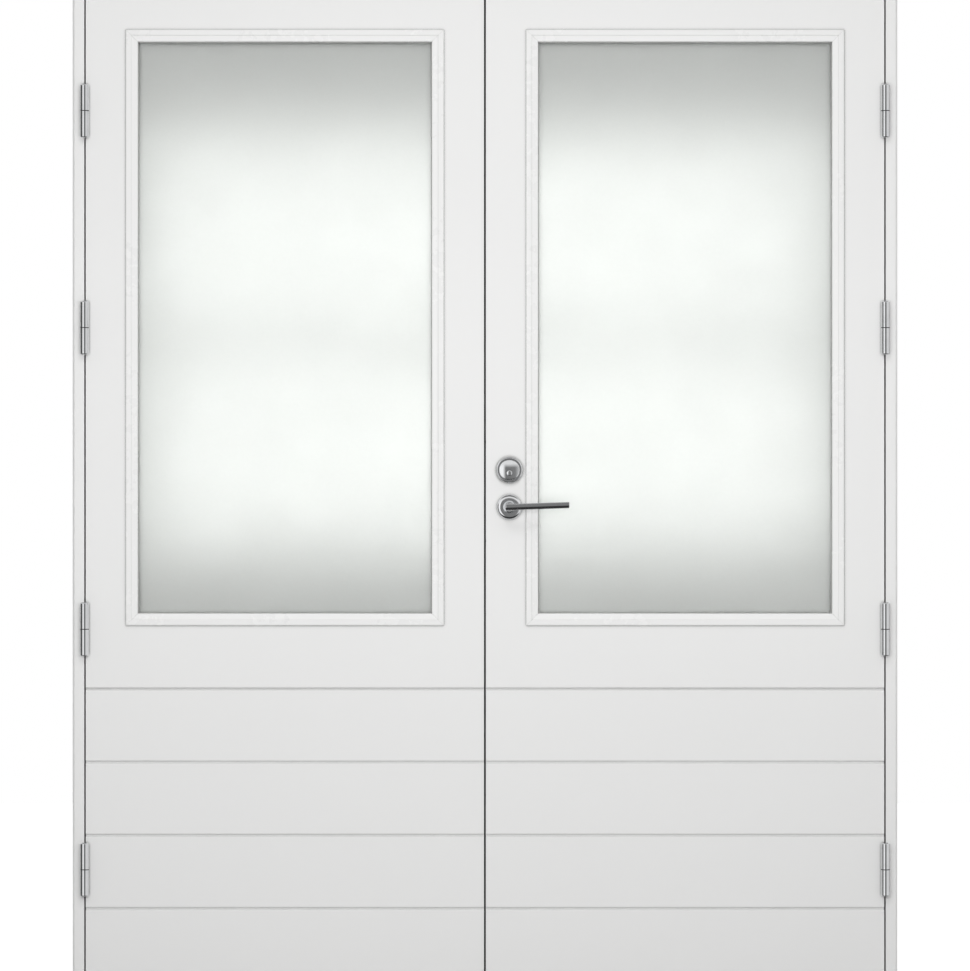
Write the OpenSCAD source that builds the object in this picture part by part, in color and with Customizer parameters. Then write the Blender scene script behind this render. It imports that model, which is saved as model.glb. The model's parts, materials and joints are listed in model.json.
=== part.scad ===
// French doors: two glazed leaves that open outwards, in their own frame.
// X runs across the doorway, -Y is outdoors, +Y is indoors, +Z is up.
// The origin lies on the underside of the threshold, in the middle of the doorway
// and of the frame's depth. The leaves are shut and the bolts are drawn in.

/* [Frame] */
// Width over the frame
frame_w = 1690; // [1400:10:2100]
// Height over the frame
frame_h = 2090; // [1740:1:2520]
// Depth of the frame, front to back
frame_d = 105; // [100:1:160]
// Width of the frame's face beside and above the leaves
face_w = 24; // [22:1:60]
// How far the stop stands out past that face
stop_w = 15; // [13:1:30]
// Bevel along the outer front edge of the frame
frame_bevel = 4; // [1:0.5:8]
// Height of the threshold's front lip
sill_front_h = 18; // [16:1:20]
// Height of the threshold under the back of the leaves
sill_back_h = 24; // [20:1:26]
// Height of the upstand behind the leaves
sill_upstand_h = 42; // [40:1:50]

/* [Frame fixings] */
// Radius of a fixing hole
fix_r = 6; // [3:0.5:8]
// Radius of the cover plug's seat round a fixing hole
fix_seat_r = 10; // [9:0.5:12]
// Depth of the cover plug's seat
fix_seat_d = 6; // [3:1:12]
// Distance between the two holes of a pair
fix_pitch = 520; // [400:10:560]
// Lowest hole above the underside of the threshold
fix_low = 150; // [120:5:170]
// Highest hole below the top of the frame
fix_high = 380; // [360:5:400]

/* [Leaves] */
// Thickness of the wooden frame inside a leaf
core_t = 50; // [44:1:56]
// Thickness of a face sheet
skin_t = 6; // [4:0.5:9]
// Gap between a leaf and the frame, at the side and the top
edge_gap = 3; // [2:0.5:5]
// Height of a leaf's bottom edge above the underside of the threshold
leaf_z = 30; // [28:1:36]
// Gap between the back of a leaf and the stop
seal_gap = 4; // [3:0.5:6]
// Gap left between the leaves as one of them swings past the other
meeting_spare = 1; // [0.6:0.1:2]
// Height of the rail at the bottom of a leaf
bottom_rail_h = 92; // [60:1:140]
// Height of the rail under the glass
middle_rail_h = 70; // [40:1:100]
// Height of the glazing bead's lower edge above the leaf's bottom
bead_z = 730; // [660:5:900]
// Distance between the grooves, and of the first one above the leaf's bottom
groove_pitch = 150; // [120:5:165]
// Number of grooves across the outer face
groove_count = 4; // [1:1:4]
// Width of a groove at the surface
groove_w = 8; // [4:0.5:12]
// Width of a groove at its bottom
groove_floor_w = 2; // [0.5:0.5:3]
// Depth of a groove
groove_d = 3; // [1:0.5:3.5]

/* [Glazing] */
// Distance of the outside of the beads from the line of the lever's axis
bead_off = 34; // [30:1:62]
// Width of a glazing bead
bead_w = 25; // [22:1:40]
// How far a bead laps over the face sheet
bead_lap = 10; // [6:1:12]
// How far a bead stands out from the face sheet
bead_proud = 5; // [3:0.5:8]
// Depth of the glass below the outer face sheet
glass_depth = 14; // [10:1:18]
// Thickness of one pane
pane_t = 4; // [3:1:6]
// Width of the space between the panes
pane_space = 16; // [10:1:18]
// Gap round the edge of the panes
pane_gap = 3; // [2:0.5:5]
// Width of the spacer bar between the panes
spacer_w = 8; // [5:0.5:9]

/* [Hinges] */
// Height of a hinge over both knuckles
hinge_h = 110; // [90:1:120]
// Radius of a knuckle
knuckle_r = 8.8; // [8:0.1:11]
// Gap between the knuckles and the face of the doors
knuckle_gap = 0.4; // [0.3:0.1:1]
// Gap between the two knuckles of a hinge
knuckle_split = 0.4; // [0.2:0.1:1]
// Rounding of a knuckle's end
knuckle_round = 3; // [1:0.5:3.5]
// Radius of the hinge pin
pin_r = 5; // [4:0.1:5.5]
// Clearance round the pin in the frame's knuckle, where it is held
pin_held_clear = 0.02; // [0.01:0.01:0.04]
// Clearance round the pin in the leaf's knuckle, where it turns
pin_turn_clear = 0.05; // [0.04:0.01:0.1]
// Wall left over the ends of the pin
pin_cover = 4; // [3:0.5:8]
// Thickness of a hinge plate
plate_t = 3; // [2:0.5:4]
// Depth of a hinge plate, front to back
plate_d = 35; // [26:1:45]
// Lowest hinge above the leaf's bottom
hinge_low = 231; // [180:1:250]
// Second hinge above the leaf's bottom
hinge_mid_low = 723; // [600:1:740]
// Third hinge below the leaf's top
hinge_mid_high = 693; // [600:1:700]
// Highest hinge below the leaf's top
hinge_high = 249; // [200:1:260]
// Radius of a screw's shank
screw_r = 2; // [1.5:0.1:2.5]
// Radius of a screw's head
screw_head_r = 4; // [3:0.1:4.5]
// Length of a hinge screw
screw_len = 20; // [12:1:20]

/* [Lock] */
// Distance of the lever's axis from the leaf's meeting edge
backset = 48; // [46:1:50]
// Height of the lever's axis above the leaf's bottom
handle_h = 973; // [900:1:1050]
// Distance from the lever's axis up to the middle of the cylinder
cylinder_rise = 76; // [72:1:90]
// Distance of the keyhole below the middle of the cylinder
plug_drop = 6.3; // [4:0.1:7]
// Thickness of the lock case
case_t = 16; // [15:0.5:18]
// Thickness of the lock case's walls
case_wall = 1.5; // [1:0.1:2]
// Width of the forend and of the strike plate
forend_w = 22; // [20:1:26]
// Thickness of the forend and of the strike plate
forend_t = 3; // [2:0.5:4]
// Module of the rack and pinion teeth
tooth_m = 2; // [2:0.05:2.05]
// Clearance on each flank of a tooth
tooth_clear = 0.1; // [0.05:0.01:0.15]
// Radius of the rods where they leave the lock
rod_r = 4; // [3:0.1:4.5]
// Clearance round sliding rods and bolts
slide_clear = 0.3; // [0.2:0.05:0.5]
// Height of a bolt's head
bolt_h = 20; // [16:1:20]

/* [Handles] */
// Radius of the roses
rose_r = 26; // [22:0.5:28]
// Thickness of the roses
rose_t = 9; // [6:0.5:12]
// Rounding of the roses' edge
rose_round = 2; // [0.5:0.5:4]
// Radius of a lever's neck
neck_r = 9; // [8:0.5:11]
// Gap between a lever's bar and the face of the leaf
lever_reach = 45; // [38:1:60]
// Length of a lever's bar beyond its axis
lever_l = 122; // [90:1:150]
// Length of a lever's bar short of its axis
lever_heel = 8; // [6:1:10]
// Height of a lever's bar
lever_h = 13; // [10:0.5:18]
// Thickness of a lever's bar
lever_t = 9; // [7:0.5:12]
// Angle at which the bar rises from level
lever_rise = 2; // [0:0.5:5]
// Side of the square spindle
spindle_s = 8; // [7:0.5:8]
// Radius of the cylinder's collar
collar_r = 27; // [25:0.5:30]
// Thickness of the collar
collar_t = 10; // [6:0.5:14]
// Radius of the cylinder's front disc
disc_r = 21.2; // [19:0.1:22]
// Radius of the cylinder's barrel inside the leaf
barrel_r = 14; // [13:0.1:15]
// Radius of the plug
plug_r = 5.9; // [5:0.1:6.5]

/* [Flush bolts] */
// Radius of a flush bolt
flush_r = 5; // [4:0.1:5.5]
// Travel of a flush bolt
flush_travel = 20; // [15:1:20]
// Distance of a flush bolt's axis from the leaf's meeting edge
flush_in = 14; // [12:1:16]
// Distance of a thumb slide from the nearer end of the leaf
flush_reach = 300; // [250:5:340]
// Height of the plate over a flush bolt
flush_plate_h = 160; // [120:5:180]
// Width of the plate over a flush bolt
flush_plate_w = 20; // [18:1:24]

/* [Hidden] */
$fn = 64;

// Colours
paint = [0.93, 0.93, 0.92];
wood = [0.80, 0.66, 0.46];
steel = [0.70, 0.71, 0.72];
chrome = [0.80, 0.81, 0.82];
dark = [0.12, 0.12, 0.12];
frost = [0.85, 0.90, 0.88, 0.6];

past = 1;          // how far a cut runs past the surface it opens
touch = 0.1;       // clearance between pieces that are held against each other
frame_side = -1;   // faces of a hinge: towards the leaf or the frame
leaf_side = 1;

// Planes of the frame and the leaves, front to back
leaf_t = core_t + 2 * skin_t;
front_y = -frame_d / 2;
back_y = frame_d / 2;
core_y = front_y + skin_t;
core_back_y = core_y + core_t;
leaf_back_y = front_y + leaf_t;
stop_y = leaf_back_y + seal_gap;
mid_y = front_y + leaf_t / 2;
fix_y = stop_y - fix_seat_r;

// Edges of the right half, seen from the middle of the doorway
outer_x = frame_w / 2;
opening_x = outer_x - face_w;
stop_x = opening_x - stop_w;
leaf_x = opening_x - edge_gap;
pivot_x = opening_x - edge_gap / 2;
pivot_y = front_y - knuckle_gap - knuckle_r;
swing_reach = pow(leaf_back_y - pivot_y, 2) / (2 * pivot_x);
meet_x = (swing_reach + meeting_spare) / 2;
leaf_w = leaf_x - meet_x;

// Heights
head_z = frame_h - face_w;
stop_z = head_z - stop_w;
leaf_top_z = head_z - edge_gap;
leaf_h = leaf_top_z - leaf_z;
face_seam_z = leaf_z + groove_count * groove_pitch;

// Glazing: the leaf's face is equally wide outside the beads at the sides and the top
bead_margin = backset + bead_off;
stile_w = bead_margin + bead_lap;
glass_z = leaf_z + bead_z + bead_lap;
glass_top_z = leaf_top_z - stile_w;
glass_x = meet_x + stile_w;
glass_out_x = leaf_x - stile_w;
glass_mid_x = (glass_x + glass_out_x) / 2;
glass_mid_z = (glass_z + glass_top_z) / 2;
glazing_w = glass_out_x - glass_x + 2 * bead_lap;
glazing_h = glass_top_z - glass_z + 2 * bead_lap;
outer_pane_y = front_y + glass_depth;
spacer_y = outer_pane_y + pane_t;
inner_pane_y = spacer_y + pane_space;
glass_back_y = inner_pane_y + pane_t;
inner_glass_depth = leaf_back_y - glass_back_y;
mitre_gap = 0.05;  // half the gap between two beads at a corner

// Seals
seal_w = 8;
stem_w = 4;
stem_d = 6;
seal_clear = 0.3;
seal_x = (stop_x + leaf_x) / 2;
seal_z = (leaf_z + sill_upstand_h) / 2;
seal_top_z = (stop_z + leaf_top_z) / 2;
meeting_seal_y = front_y + 10.5;
meeting_seal_w = 6;
meeting_seal_out = meeting_spare - seal_clear;

// Hinges
hinge_zs = [leaf_z + hinge_low, leaf_z + hinge_mid_low, leaf_top_z - hinge_mid_high, leaf_top_z - hinge_high];
screw_pitch = 38;
screw_in = 20;
screw_head_h = 2.2;
neck_inset = 4;

// Lock: both pinions have twelve teeth, so a quarter turn moves a rack by three teeth
teeth = 12;
pressure = 25;
pitch_r = tooth_m * teeth / 2;
tooth_pitch = PI * tooth_m;
travel_teeth = 3;
addendum = 0.9 * tooth_m;
dedendum = 1.2 * tooth_m;
tip_r = pitch_r + addendum;
root_r = pitch_r - dedendum;
rack_back = 10;
lock_x = meet_x + backset;
handle_z = leaf_z + handle_h;
cylinder_z = handle_z + cylinder_rise;
plug_z = cylinder_z - plug_drop;
case_y = mid_y - case_t / 2;
case_back_y = mid_y + case_t / 2;
layer_gap = 0.4;
layer_t = case_t / 2 - case_wall - 0.7;
front_layer_y = mid_y - layer_gap / 2 - layer_t;
rear_layer_y = mid_y + layer_gap / 2;
case_inner_x = lock_x + (1 + travel_teeth) * tooth_pitch + 0.5;
case_x = case_inner_x + case_wall;
case_z = handle_z - 63;
case_top_z = cylinder_z + 51;
forend_x = meet_x + forend_t;
forend_over = 12.5;
rod_x = pitch_r + rack_back - (rack_back - dedendum) / 2;
rod_y = front_layer_y + layer_t / 2;
rod_channel_r = rod_r + 1.5;
rod_end_gap = 2;
rod_overlap = 6;
bolt_drop = rod_x;
bolt_head_end = lock_x - meet_x - 22;
journal_r = 8.5;
journal_clear = 0.05;
spindle_hole_r = 11;
square_clear = 0.1;
cam_square = 6;
collar_lip = 0.2;

// Strike plate and flush bolts
strike_z = handle_z - 70;
strike_top_z = cylinder_z + 30;
strike_pocket = 22;
flush_x = meet_x + flush_in;
flush_thumb_h = 16;
flush_thumb_w = 8;
flush_thumb_sink = 1.5;
flush_tail = 22;
flush_zs = [leaf_top_z - flush_reach, leaf_z + flush_reach];
flush_channel_r = flush_r + 0.5;

// Keeps for the rods and flush bolts
keep_h = 8;
keep_wall = 3.5;
keep_clear = 0.6;
keep_depth = 20;
sill_keep_z = floor(leaf_z + rod_end_gap - travel_teeth * tooth_pitch - 3);

function lerp(a, b, t) = a + (b - a) * t;
function arc(cx, cy, r, a0, a1, n) =
    [for (i = [0 : n]) let (a = lerp(a0, a1, i / n)) [cx + r * cos(a), cy + r * sin(a)]];

// Shape helpers
module block(x0, x1, y0, y1, z0, z1) {
    translate([x0, y0, z0]) cube([x1 - x0, y1 - y0, z1 - z0]);
}

module on_side(side) {
    mirror([side < 0 ? 1 : 0, 0, 0]) children();
}

// A cylinder along +Y from y0 to y1
module rod_along_y(x, z, y0, y1, r) {
    translate([x, y0, z]) rotate([-90, 0, 0]) cylinder(h = y1 - y0, r = r);
}

// A disc along -Y whose front edge is rounded; its back lies at y = 0
module rounded_disc(r, t, edge) {
    rotate([90, 0, 0]) rotate_extrude() union() {
        square([r - edge, t]);
        square([r, t - edge]);
        translate([r - edge, t - edge]) intersection() {
            circle(edge);
            square(edge);
        }
    }
}

// A rectangular ring in the XZ plane, its corners centred on the seal line round the leaves
module seal_loop(w, y0, y1) {
    difference() {
        block(-seal_x - w / 2, seal_x + w / 2, y0, y1, seal_z - w / 2, seal_top_z + w / 2);
        block(-seal_x + w / 2, seal_x - w / 2, y0 - past, y1 + past, seal_z + w / 2, seal_top_z - w / 2);
    }
}

module seal_groove() {
    seal_loop(stem_w, stop_y - past, stop_y + stem_d);
}

// A countersunk screw along +X, its head just below the plate's surface at x = 0
module screw_form(grow) {
    rotate([0, 90, 0]) union() {
        translate([0, 0, touch]) cylinder(h = screw_head_h, r1 = screw_head_r + grow, r2 = screw_r + grow);
        translate([0, 0, touch]) cylinder(h = screw_len + grow, r = screw_r + grow);
        if (grow > 0) translate([0, 0, -past]) cylinder(h = past + touch, r = screw_head_r + grow);
    }
}

module at_hinge_screws(side) {
    x = side == frame_side ? opening_x : leaf_x;
    for (z = hinge_zs, k = [-1 : 1])
        translate([x, front_y + screw_in, z + k * screw_pitch])
            mirror([side == frame_side ? 0 : 1, 0, 0]) children();
}

// Frame
module jamb() {
    difference() {
        linear_extrude(frame_h) polygon([
            [opening_x, front_y], [outer_x - frame_bevel, front_y], [outer_x, front_y + frame_bevel],
            [outer_x, back_y], [stop_x, back_y], [stop_x, stop_y], [opening_x, stop_y],
        ]);
        seal_groove();
        for (z = hinge_zs)
            block(opening_x - past, opening_x + plate_t, front_y - past, front_y + plate_d,
                z - hinge_h / 2, z + hinge_h / 2);
        at_hinge_screws(frame_side) screw_form(touch);
        for (z = [fix_low, fix_low + fix_pitch, frame_h - fix_high - fix_pitch, frame_h - fix_high])
            translate([0, fix_y, z]) rotate([0, 90, 0]) {
                translate([0, 0, stop_x]) cylinder(h = outer_x - stop_x + past, r = fix_r);
                translate([0, 0, stop_x]) cylinder(h = opening_x - stop_x + fix_seat_d, r = fix_seat_r);
            }
    }
}

module left_jamb() { color(paint) on_side(-1) jamb(); }
module right_jamb() { color(paint) jamb(); }

module keep_sites() {
    on_side(1) translate([lock_x - rod_x, rod_y, 0]) children(0);
    on_side(-1) translate([flush_x, mid_y, 0]) children(1);
}

module keep_pocket(bolt_r) {
    translate([0, 0, head_z - past]) cylinder(h = keep_h + past, r = bolt_r + keep_clear + keep_wall);
    translate([0, 0, head_z]) cylinder(h = keep_depth, r = bolt_r + keep_clear);
}

module sill_keep_pocket(bolt_r) {
    translate([0, 0, sill_keep_z]) cylinder(h = sill_back_h, r = bolt_r + keep_clear + keep_wall);
}

module head_jamb() {
    color(paint) difference() {
        union() {
            translate([-opening_x, 0, 0]) rotate([90, 0, 90]) linear_extrude(2 * opening_x) polygon([
                [front_y, head_z], [stop_y, head_z], [stop_y, frame_h],
                [front_y + frame_bevel, frame_h], [front_y, frame_h - frame_bevel],
            ]);
            block(-stop_x, stop_x, stop_y, back_y, stop_z, frame_h);
        }
        seal_groove();
        keep_sites() {
            keep_pocket(rod_r);
            keep_pocket(flush_r);
        }
    }
}

// The bottom rod runs on the far side of the lock from the top rod
module sill_keep_sites() {
    translate([lock_x + rod_x, rod_y, 0]) children(0);
    on_side(-1) translate([flush_x, mid_y, 0]) children(1);
}

module threshold() {
    color(wood) difference() {
        union() {
            translate([-opening_x, 0, 0]) rotate([90, 0, 90]) linear_extrude(2 * opening_x) polygon([
                [front_y, 0], [stop_y, 0], [stop_y, sill_back_h], [front_y, sill_front_h],
            ]);
            block(-stop_x, stop_x, stop_y, back_y, 0, sill_upstand_h);
        }
        seal_groove();
        sill_keep_sites() {
            sill_keep_pocket(rod_r);
            sill_keep_pocket(flush_r);
        }
    }
}

module frame_seal() {
    color(dark) union() {
        seal_loop(seal_w, leaf_back_y + seal_clear, stop_y);
        seal_loop(stem_w, stop_y, stop_y + stem_d);
    }
}

module keep_bush(bolt_r, z, h) {
    translate([0, 0, z]) difference() {
        cylinder(h = h, r = bolt_r + keep_clear + keep_wall);
        translate([0, 0, -past]) cylinder(h = h + 2 * past, r = bolt_r + keep_clear);
    }
}

module rod_keeps() {
    color(steel) {
        keep_sites() {
            keep_bush(rod_r, head_z, keep_h);
            keep_bush(flush_r, head_z, keep_h);
        }
        sill_keep_sites() {
            keep_bush(rod_r, sill_keep_z, sill_front_h - sill_keep_z);
            keep_bush(flush_r, sill_keep_z, sill_front_h - sill_keep_z);
        }
    }
}

// Hinges: the lower knuckle belongs to the frame, the upper one to the leaf
module knuckle() {
    h = (hinge_h - knuckle_split) / 2;
    rotate([-90, 0, 0]) rounded_disc(knuckle_r, h, knuckle_round);
}

module hinge_half(side) {
    x = side == frame_side ? opening_x : leaf_x - plate_t;
    turn = side == frame_side ? 180 : 0;
    clear = side == frame_side ? pin_held_clear : pin_turn_clear;
    bore_h = hinge_h / 2 - pin_cover;
    neck_z = side == frame_side ? neck_inset - hinge_h / 2 : knuckle_split / 2;
    neck_h = (hinge_h - knuckle_split) / 2 - neck_inset;
    difference() {
        union() {
            block(x, x + plate_t, front_y, front_y + plate_d, -hinge_h / 2, hinge_h / 2);
            block(x, x + plate_t, pivot_y, front_y, neck_z, neck_z + neck_h);
            translate([pivot_x, pivot_y, 0]) rotate([0, turn, 0])
                translate([0, 0, knuckle_split / 2]) knuckle();
        }
        translate([pivot_x, pivot_y, 0]) rotate([0, turn, 0]) cylinder(h = bore_h, r = pin_r + clear);
    }
}

module hinge_halves(side) {
    difference() {
        for (z = hinge_zs) translate([0, 0, z]) hinge_half(side);
        at_hinge_screws(side) screw_form(touch);
    }
}

module frame_hinges() {
    color(chrome) for (side = [-1, 1]) on_side(side) hinge_halves(frame_side);
}

module hinge_pins() {
    l = hinge_h - 2 * pin_cover - 2 * touch;
    color(steel) for (side = [-1, 1], z = hinge_zs)
        on_side(side) translate([pivot_x, pivot_y, z - l / 2]) cylinder(h = l, r = pin_r);
}

module frame_hinge_screws() {
    color(steel) for (side = [-1, 1]) on_side(side) at_hinge_screws(frame_side) screw_form(0);
}

module leaf_hinges(side) { color(chrome) on_side(side) hinge_halves(leaf_side); }
module leaf_hinge_screws(side) { color(steel) on_side(side) at_hinge_screws(leaf_side) screw_form(0); }

// Leaves: what is cut from the outer stile and face round the hinges
module leaf_hinge_cuts() {
    for (z = hinge_zs)
        block(leaf_x - plate_t, leaf_x + past, front_y - past, front_y + plate_d,
            z - hinge_h / 2, z + hinge_h / 2);
    at_hinge_screws(leaf_side) screw_form(touch);
}

module hinge_stile(side) {
    color(wood) on_side(side) difference() {
        block(leaf_x - stile_w, leaf_x, core_y, core_back_y, leaf_z, leaf_top_z);
        leaf_hinge_cuts();
    }
}

module rail(z0, z1) {
    block(glass_x, glass_out_x, core_y, core_back_y, z0, z1);
}

module top_rail(side) { color(wood) on_side(side) rail(glass_top_z, leaf_top_z); }
module middle_rail(side) { color(wood) on_side(side) rail(glass_z - middle_rail_h, glass_z); }
module bottom_rail(side) { color(wood) on_side(side) rail(leaf_z, leaf_z + bottom_rail_h); }
module core(side) { color(wood) on_side(side) rail(leaf_z + bottom_rail_h, glass_z - middle_rail_h); }

// The holes for the lever's spindle and the cylinder's barrel
module lock_holes(y0, y1) {
    rod_along_y(lock_x, handle_z, y0, y1, spindle_hole_r);
    rod_along_y(lock_x, cylinder_z, y0, y1, barrel_r + touch);
}

module lock_pocket() {
    block(meet_x - past, forend_x, mid_y - forend_w / 2, mid_y + forend_w / 2,
        case_z - forend_over, case_top_z + forend_over);
    block(meet_x, case_x + touch, case_y, case_back_y, case_z, case_top_z);
    translate([lock_x - rod_x, rod_y, case_top_z - past])
        cylinder(h = leaf_top_z - case_top_z + 2 * past, r = rod_channel_r);
    translate([lock_x + rod_x, rod_y, leaf_z - past])
        cylinder(h = case_z - leaf_z + 2 * past, r = rod_channel_r);
}

// The cuts for the strike plate, the flush bolts and the seal, on the other leaf
module bolt_cuts(grow) {
    for (z = [handle_z, plug_z])
        block(meet_x - past, meet_x + strike_pocket, front_layer_y - grow, rear_layer_y + layer_t + grow,
            z - bolt_drop - bolt_h / 2 - grow, z - bolt_drop + bolt_h / 2 + grow);
}

module at_flush_bolts() {
    translate([flush_x, mid_y, flush_zs[0]]) children();
    translate([flush_x, mid_y, flush_zs[1]]) mirror([0, 0, 1]) children();
}

// The slot that a thumb slide moves along
module thumb_slot(x0, x1, grow) {
    block(x0, x1, -flush_thumb_w / 2 - grow, flush_thumb_w / 2 + grow,
        -flush_thumb_h / 2 - grow, flush_thumb_h / 2 + flush_travel + grow);
}

module flush_cuts() {
    block(-flush_in - past, forend_t - flush_in, -flush_plate_w / 2, flush_plate_w / 2,
        -flush_plate_h / 2, flush_plate_h / 2);
    thumb_slot(-flush_in, 0, past);
    translate([0, 0, -flush_tail - past])
        cylinder(h = flush_reach + flush_tail + 2 * past, r = flush_channel_r);
}

module meeting_stile(side) {
    color(wood) on_side(side) difference() {
        block(meet_x, meet_x + stile_w, core_y, core_back_y, leaf_z, leaf_top_z);
        if (side > 0) {
            lock_pocket();
            lock_holes(core_y - past, core_back_y + past);
        } else {
            block(meet_x - past, forend_x, mid_y - forend_w / 2, mid_y + forend_w / 2,
                strike_z, strike_top_z);
            bolt_cuts(past);
            at_flush_bolts() flush_cuts();
            block(meet_x - past, meet_x + stem_d, meeting_seal_y - stem_w / 2, meeting_seal_y + stem_w / 2,
                leaf_z - past, leaf_top_z + past);
        }
    }
}

module groove() {
    translate([meet_x - past, 0, 0]) rotate([90, 0, 90]) linear_extrude(leaf_w + 2 * past) polygon([
        [front_y - past, -groove_w / 2], [front_y, -groove_w / 2], [front_y + groove_d, -groove_floor_w / 2],
        [front_y + groove_d, groove_floor_w / 2], [front_y, groove_w / 2], [front_y - past, groove_w / 2],
    ]);
}

// The outer face is two sheets, which meet in the middle of the top groove
module grooved_sheet(z0, z1) {
    difference() {
        block(meet_x, leaf_x, front_y, core_y, z0, z1);
        for (i = [1 : groove_count]) translate([0, 0, leaf_z + i * groove_pitch]) groove();
        leaf_hinge_cuts();
    }
}

module upper_face(side) {
    color(paint) on_side(side) difference() {
        grooved_sheet(face_seam_z, leaf_top_z);
        block(glass_x, glass_out_x, front_y - past, core_y + past, glass_z, glass_top_z);
        if (side > 0) lock_holes(front_y - past, core_y + past);
    }
}

module lower_face(side) { color(paint) on_side(side) grooved_sheet(leaf_z, face_seam_z); }

module inner_face(side) {
    color(paint) on_side(side) difference() {
        block(meet_x, leaf_x, core_back_y, leaf_back_y, leaf_z, leaf_top_z);
        block(glass_x, glass_out_x, core_back_y - past, leaf_back_y + past, glass_z, glass_top_z);
        if (side > 0) {
            rod_along_y(lock_x, handle_z, core_back_y - past, leaf_back_y + past, spindle_hole_r);
            rod_along_y(lock_x, plug_z, core_back_y - past, leaf_back_y + past, barrel_r);
        }
    }
}

// Glazing
module pane(y) {
    block(glass_x + pane_gap, glass_out_x - pane_gap, y, y + pane_t,
        glass_z + pane_gap, glass_top_z - pane_gap);
}

module outer_pane(side) { color(frost) on_side(side) pane(outer_pane_y); }
module inner_pane(side) { color(frost) on_side(side) pane(inner_pane_y); }

module spacer(side) {
    color(steel) on_side(side) difference() {
        block(glass_x + pane_gap, glass_out_x - pane_gap, spacer_y, inner_pane_y,
            glass_z + pane_gap, glass_top_z - pane_gap);
        block(glass_x + pane_gap + spacer_w, glass_out_x - pane_gap - spacer_w, spacer_y - past,
            inner_pane_y + past, glass_z + pane_gap + spacer_w, glass_top_z - pane_gap - spacer_w);
    }
}

// A bead's section: across the bead from its outer edge, and out from the leaf's face
function bead_section(depth) = concat(
    [[0, 0]],
    arc(bead_proud * 0.6, bead_proud * 0.4, bead_proud * 0.6, 180, 90, 4),
    [[bead_lap + 1.2, bead_proud], [bead_lap + 2.6, bead_proud - 1.8], [bead_w - 3, bead_proud - 3.4]],
    arc(bead_w - 2.5, bead_proud - 5.9, 2.5, 78, 0, 3),
    [[bead_w, -depth], [bead_lap + pane_gap, -depth]],
    [[bead_lap + touch, -depth + pane_gap], [bead_lap + touch, 0]]
);

module bead_bar(len, depth) {
    intersection() {
        rotate([180, -90, 0]) linear_extrude(len) polygon(bead_section(depth));
        rotate([90, 0, 0]) translate([0, 0, -depth - past]) linear_extrude(depth + bead_proud + 2 * past)
            polygon([
                [mitre_gap, 0], [len - mitre_gap, 0],
                [len - bead_w - mitre_gap, bead_w], [bead_w + mitre_gap, bead_w],
            ]);
    }
}

module bead_ring(depth) {
    for (k = [0 : 3]) {
        len = k % 2 == 0 ? glazing_w : glazing_h;
        off = k % 2 == 0 ? glazing_h : glazing_w;
        rotate([0, 90 * k, 0]) translate([-len / 2, 0, -off / 2]) bead_bar(len, depth);
    }
}

module outer_beads(side) {
    color(paint) on_side(side) translate([glass_mid_x, front_y, glass_mid_z]) bead_ring(glass_depth);
}

module inner_beads(side) {
    color(paint) on_side(side) translate([glass_mid_x, leaf_back_y, glass_mid_z]) mirror([0, 1, 0])
        bead_ring(inner_glass_depth);
}

// Left leaf: strike plate, seal and flush bolts
module strike_plate() {
    color(steel) on_side(-1) difference() {
        block(meet_x, forend_x, mid_y - forend_w / 2, mid_y + forend_w / 2, strike_z, strike_top_z);
        bolt_cuts(slide_clear);
    }
}

module meeting_seal() {
    color(dark) on_side(-1) union() {
        block(meet_x, meet_x + stem_d, meeting_seal_y - stem_w / 2, meeting_seal_y + stem_w / 2,
            leaf_z, leaf_top_z);
        block(meet_x - meeting_seal_out, meet_x, meeting_seal_y - meeting_seal_w / 2,
            meeting_seal_y + meeting_seal_w / 2, leaf_z, leaf_top_z);
    }
}

module flush_plates() {
    color(steel) on_side(-1) at_flush_bolts() difference() {
        block(-flush_in, forend_t - flush_in, -flush_plate_w / 2, flush_plate_w / 2,
            -flush_plate_h / 2, flush_plate_h / 2);
        thumb_slot(-flush_in - past, forend_t - flush_in + past, slide_clear);
    }
}

module flush_bolt() {
    union() {
        translate([0, 0, -flush_tail]) cylinder(h = flush_reach + flush_tail - rod_end_gap, r = flush_r);
        block(flush_thumb_sink - flush_in, 0, -flush_thumb_w / 2, flush_thumb_w / 2,
            -flush_thumb_h / 2, flush_thumb_h / 2);
    }
}

module top_flush_bolt() {
    color(steel) on_side(-1) translate([flush_x, mid_y, flush_zs[0]]) flush_bolt();
}

module bottom_flush_bolt() {
    color(steel) on_side(-1) translate([flush_x, mid_y, flush_zs[1]]) mirror([0, 0, 1]) flush_bolt();
}

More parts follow.
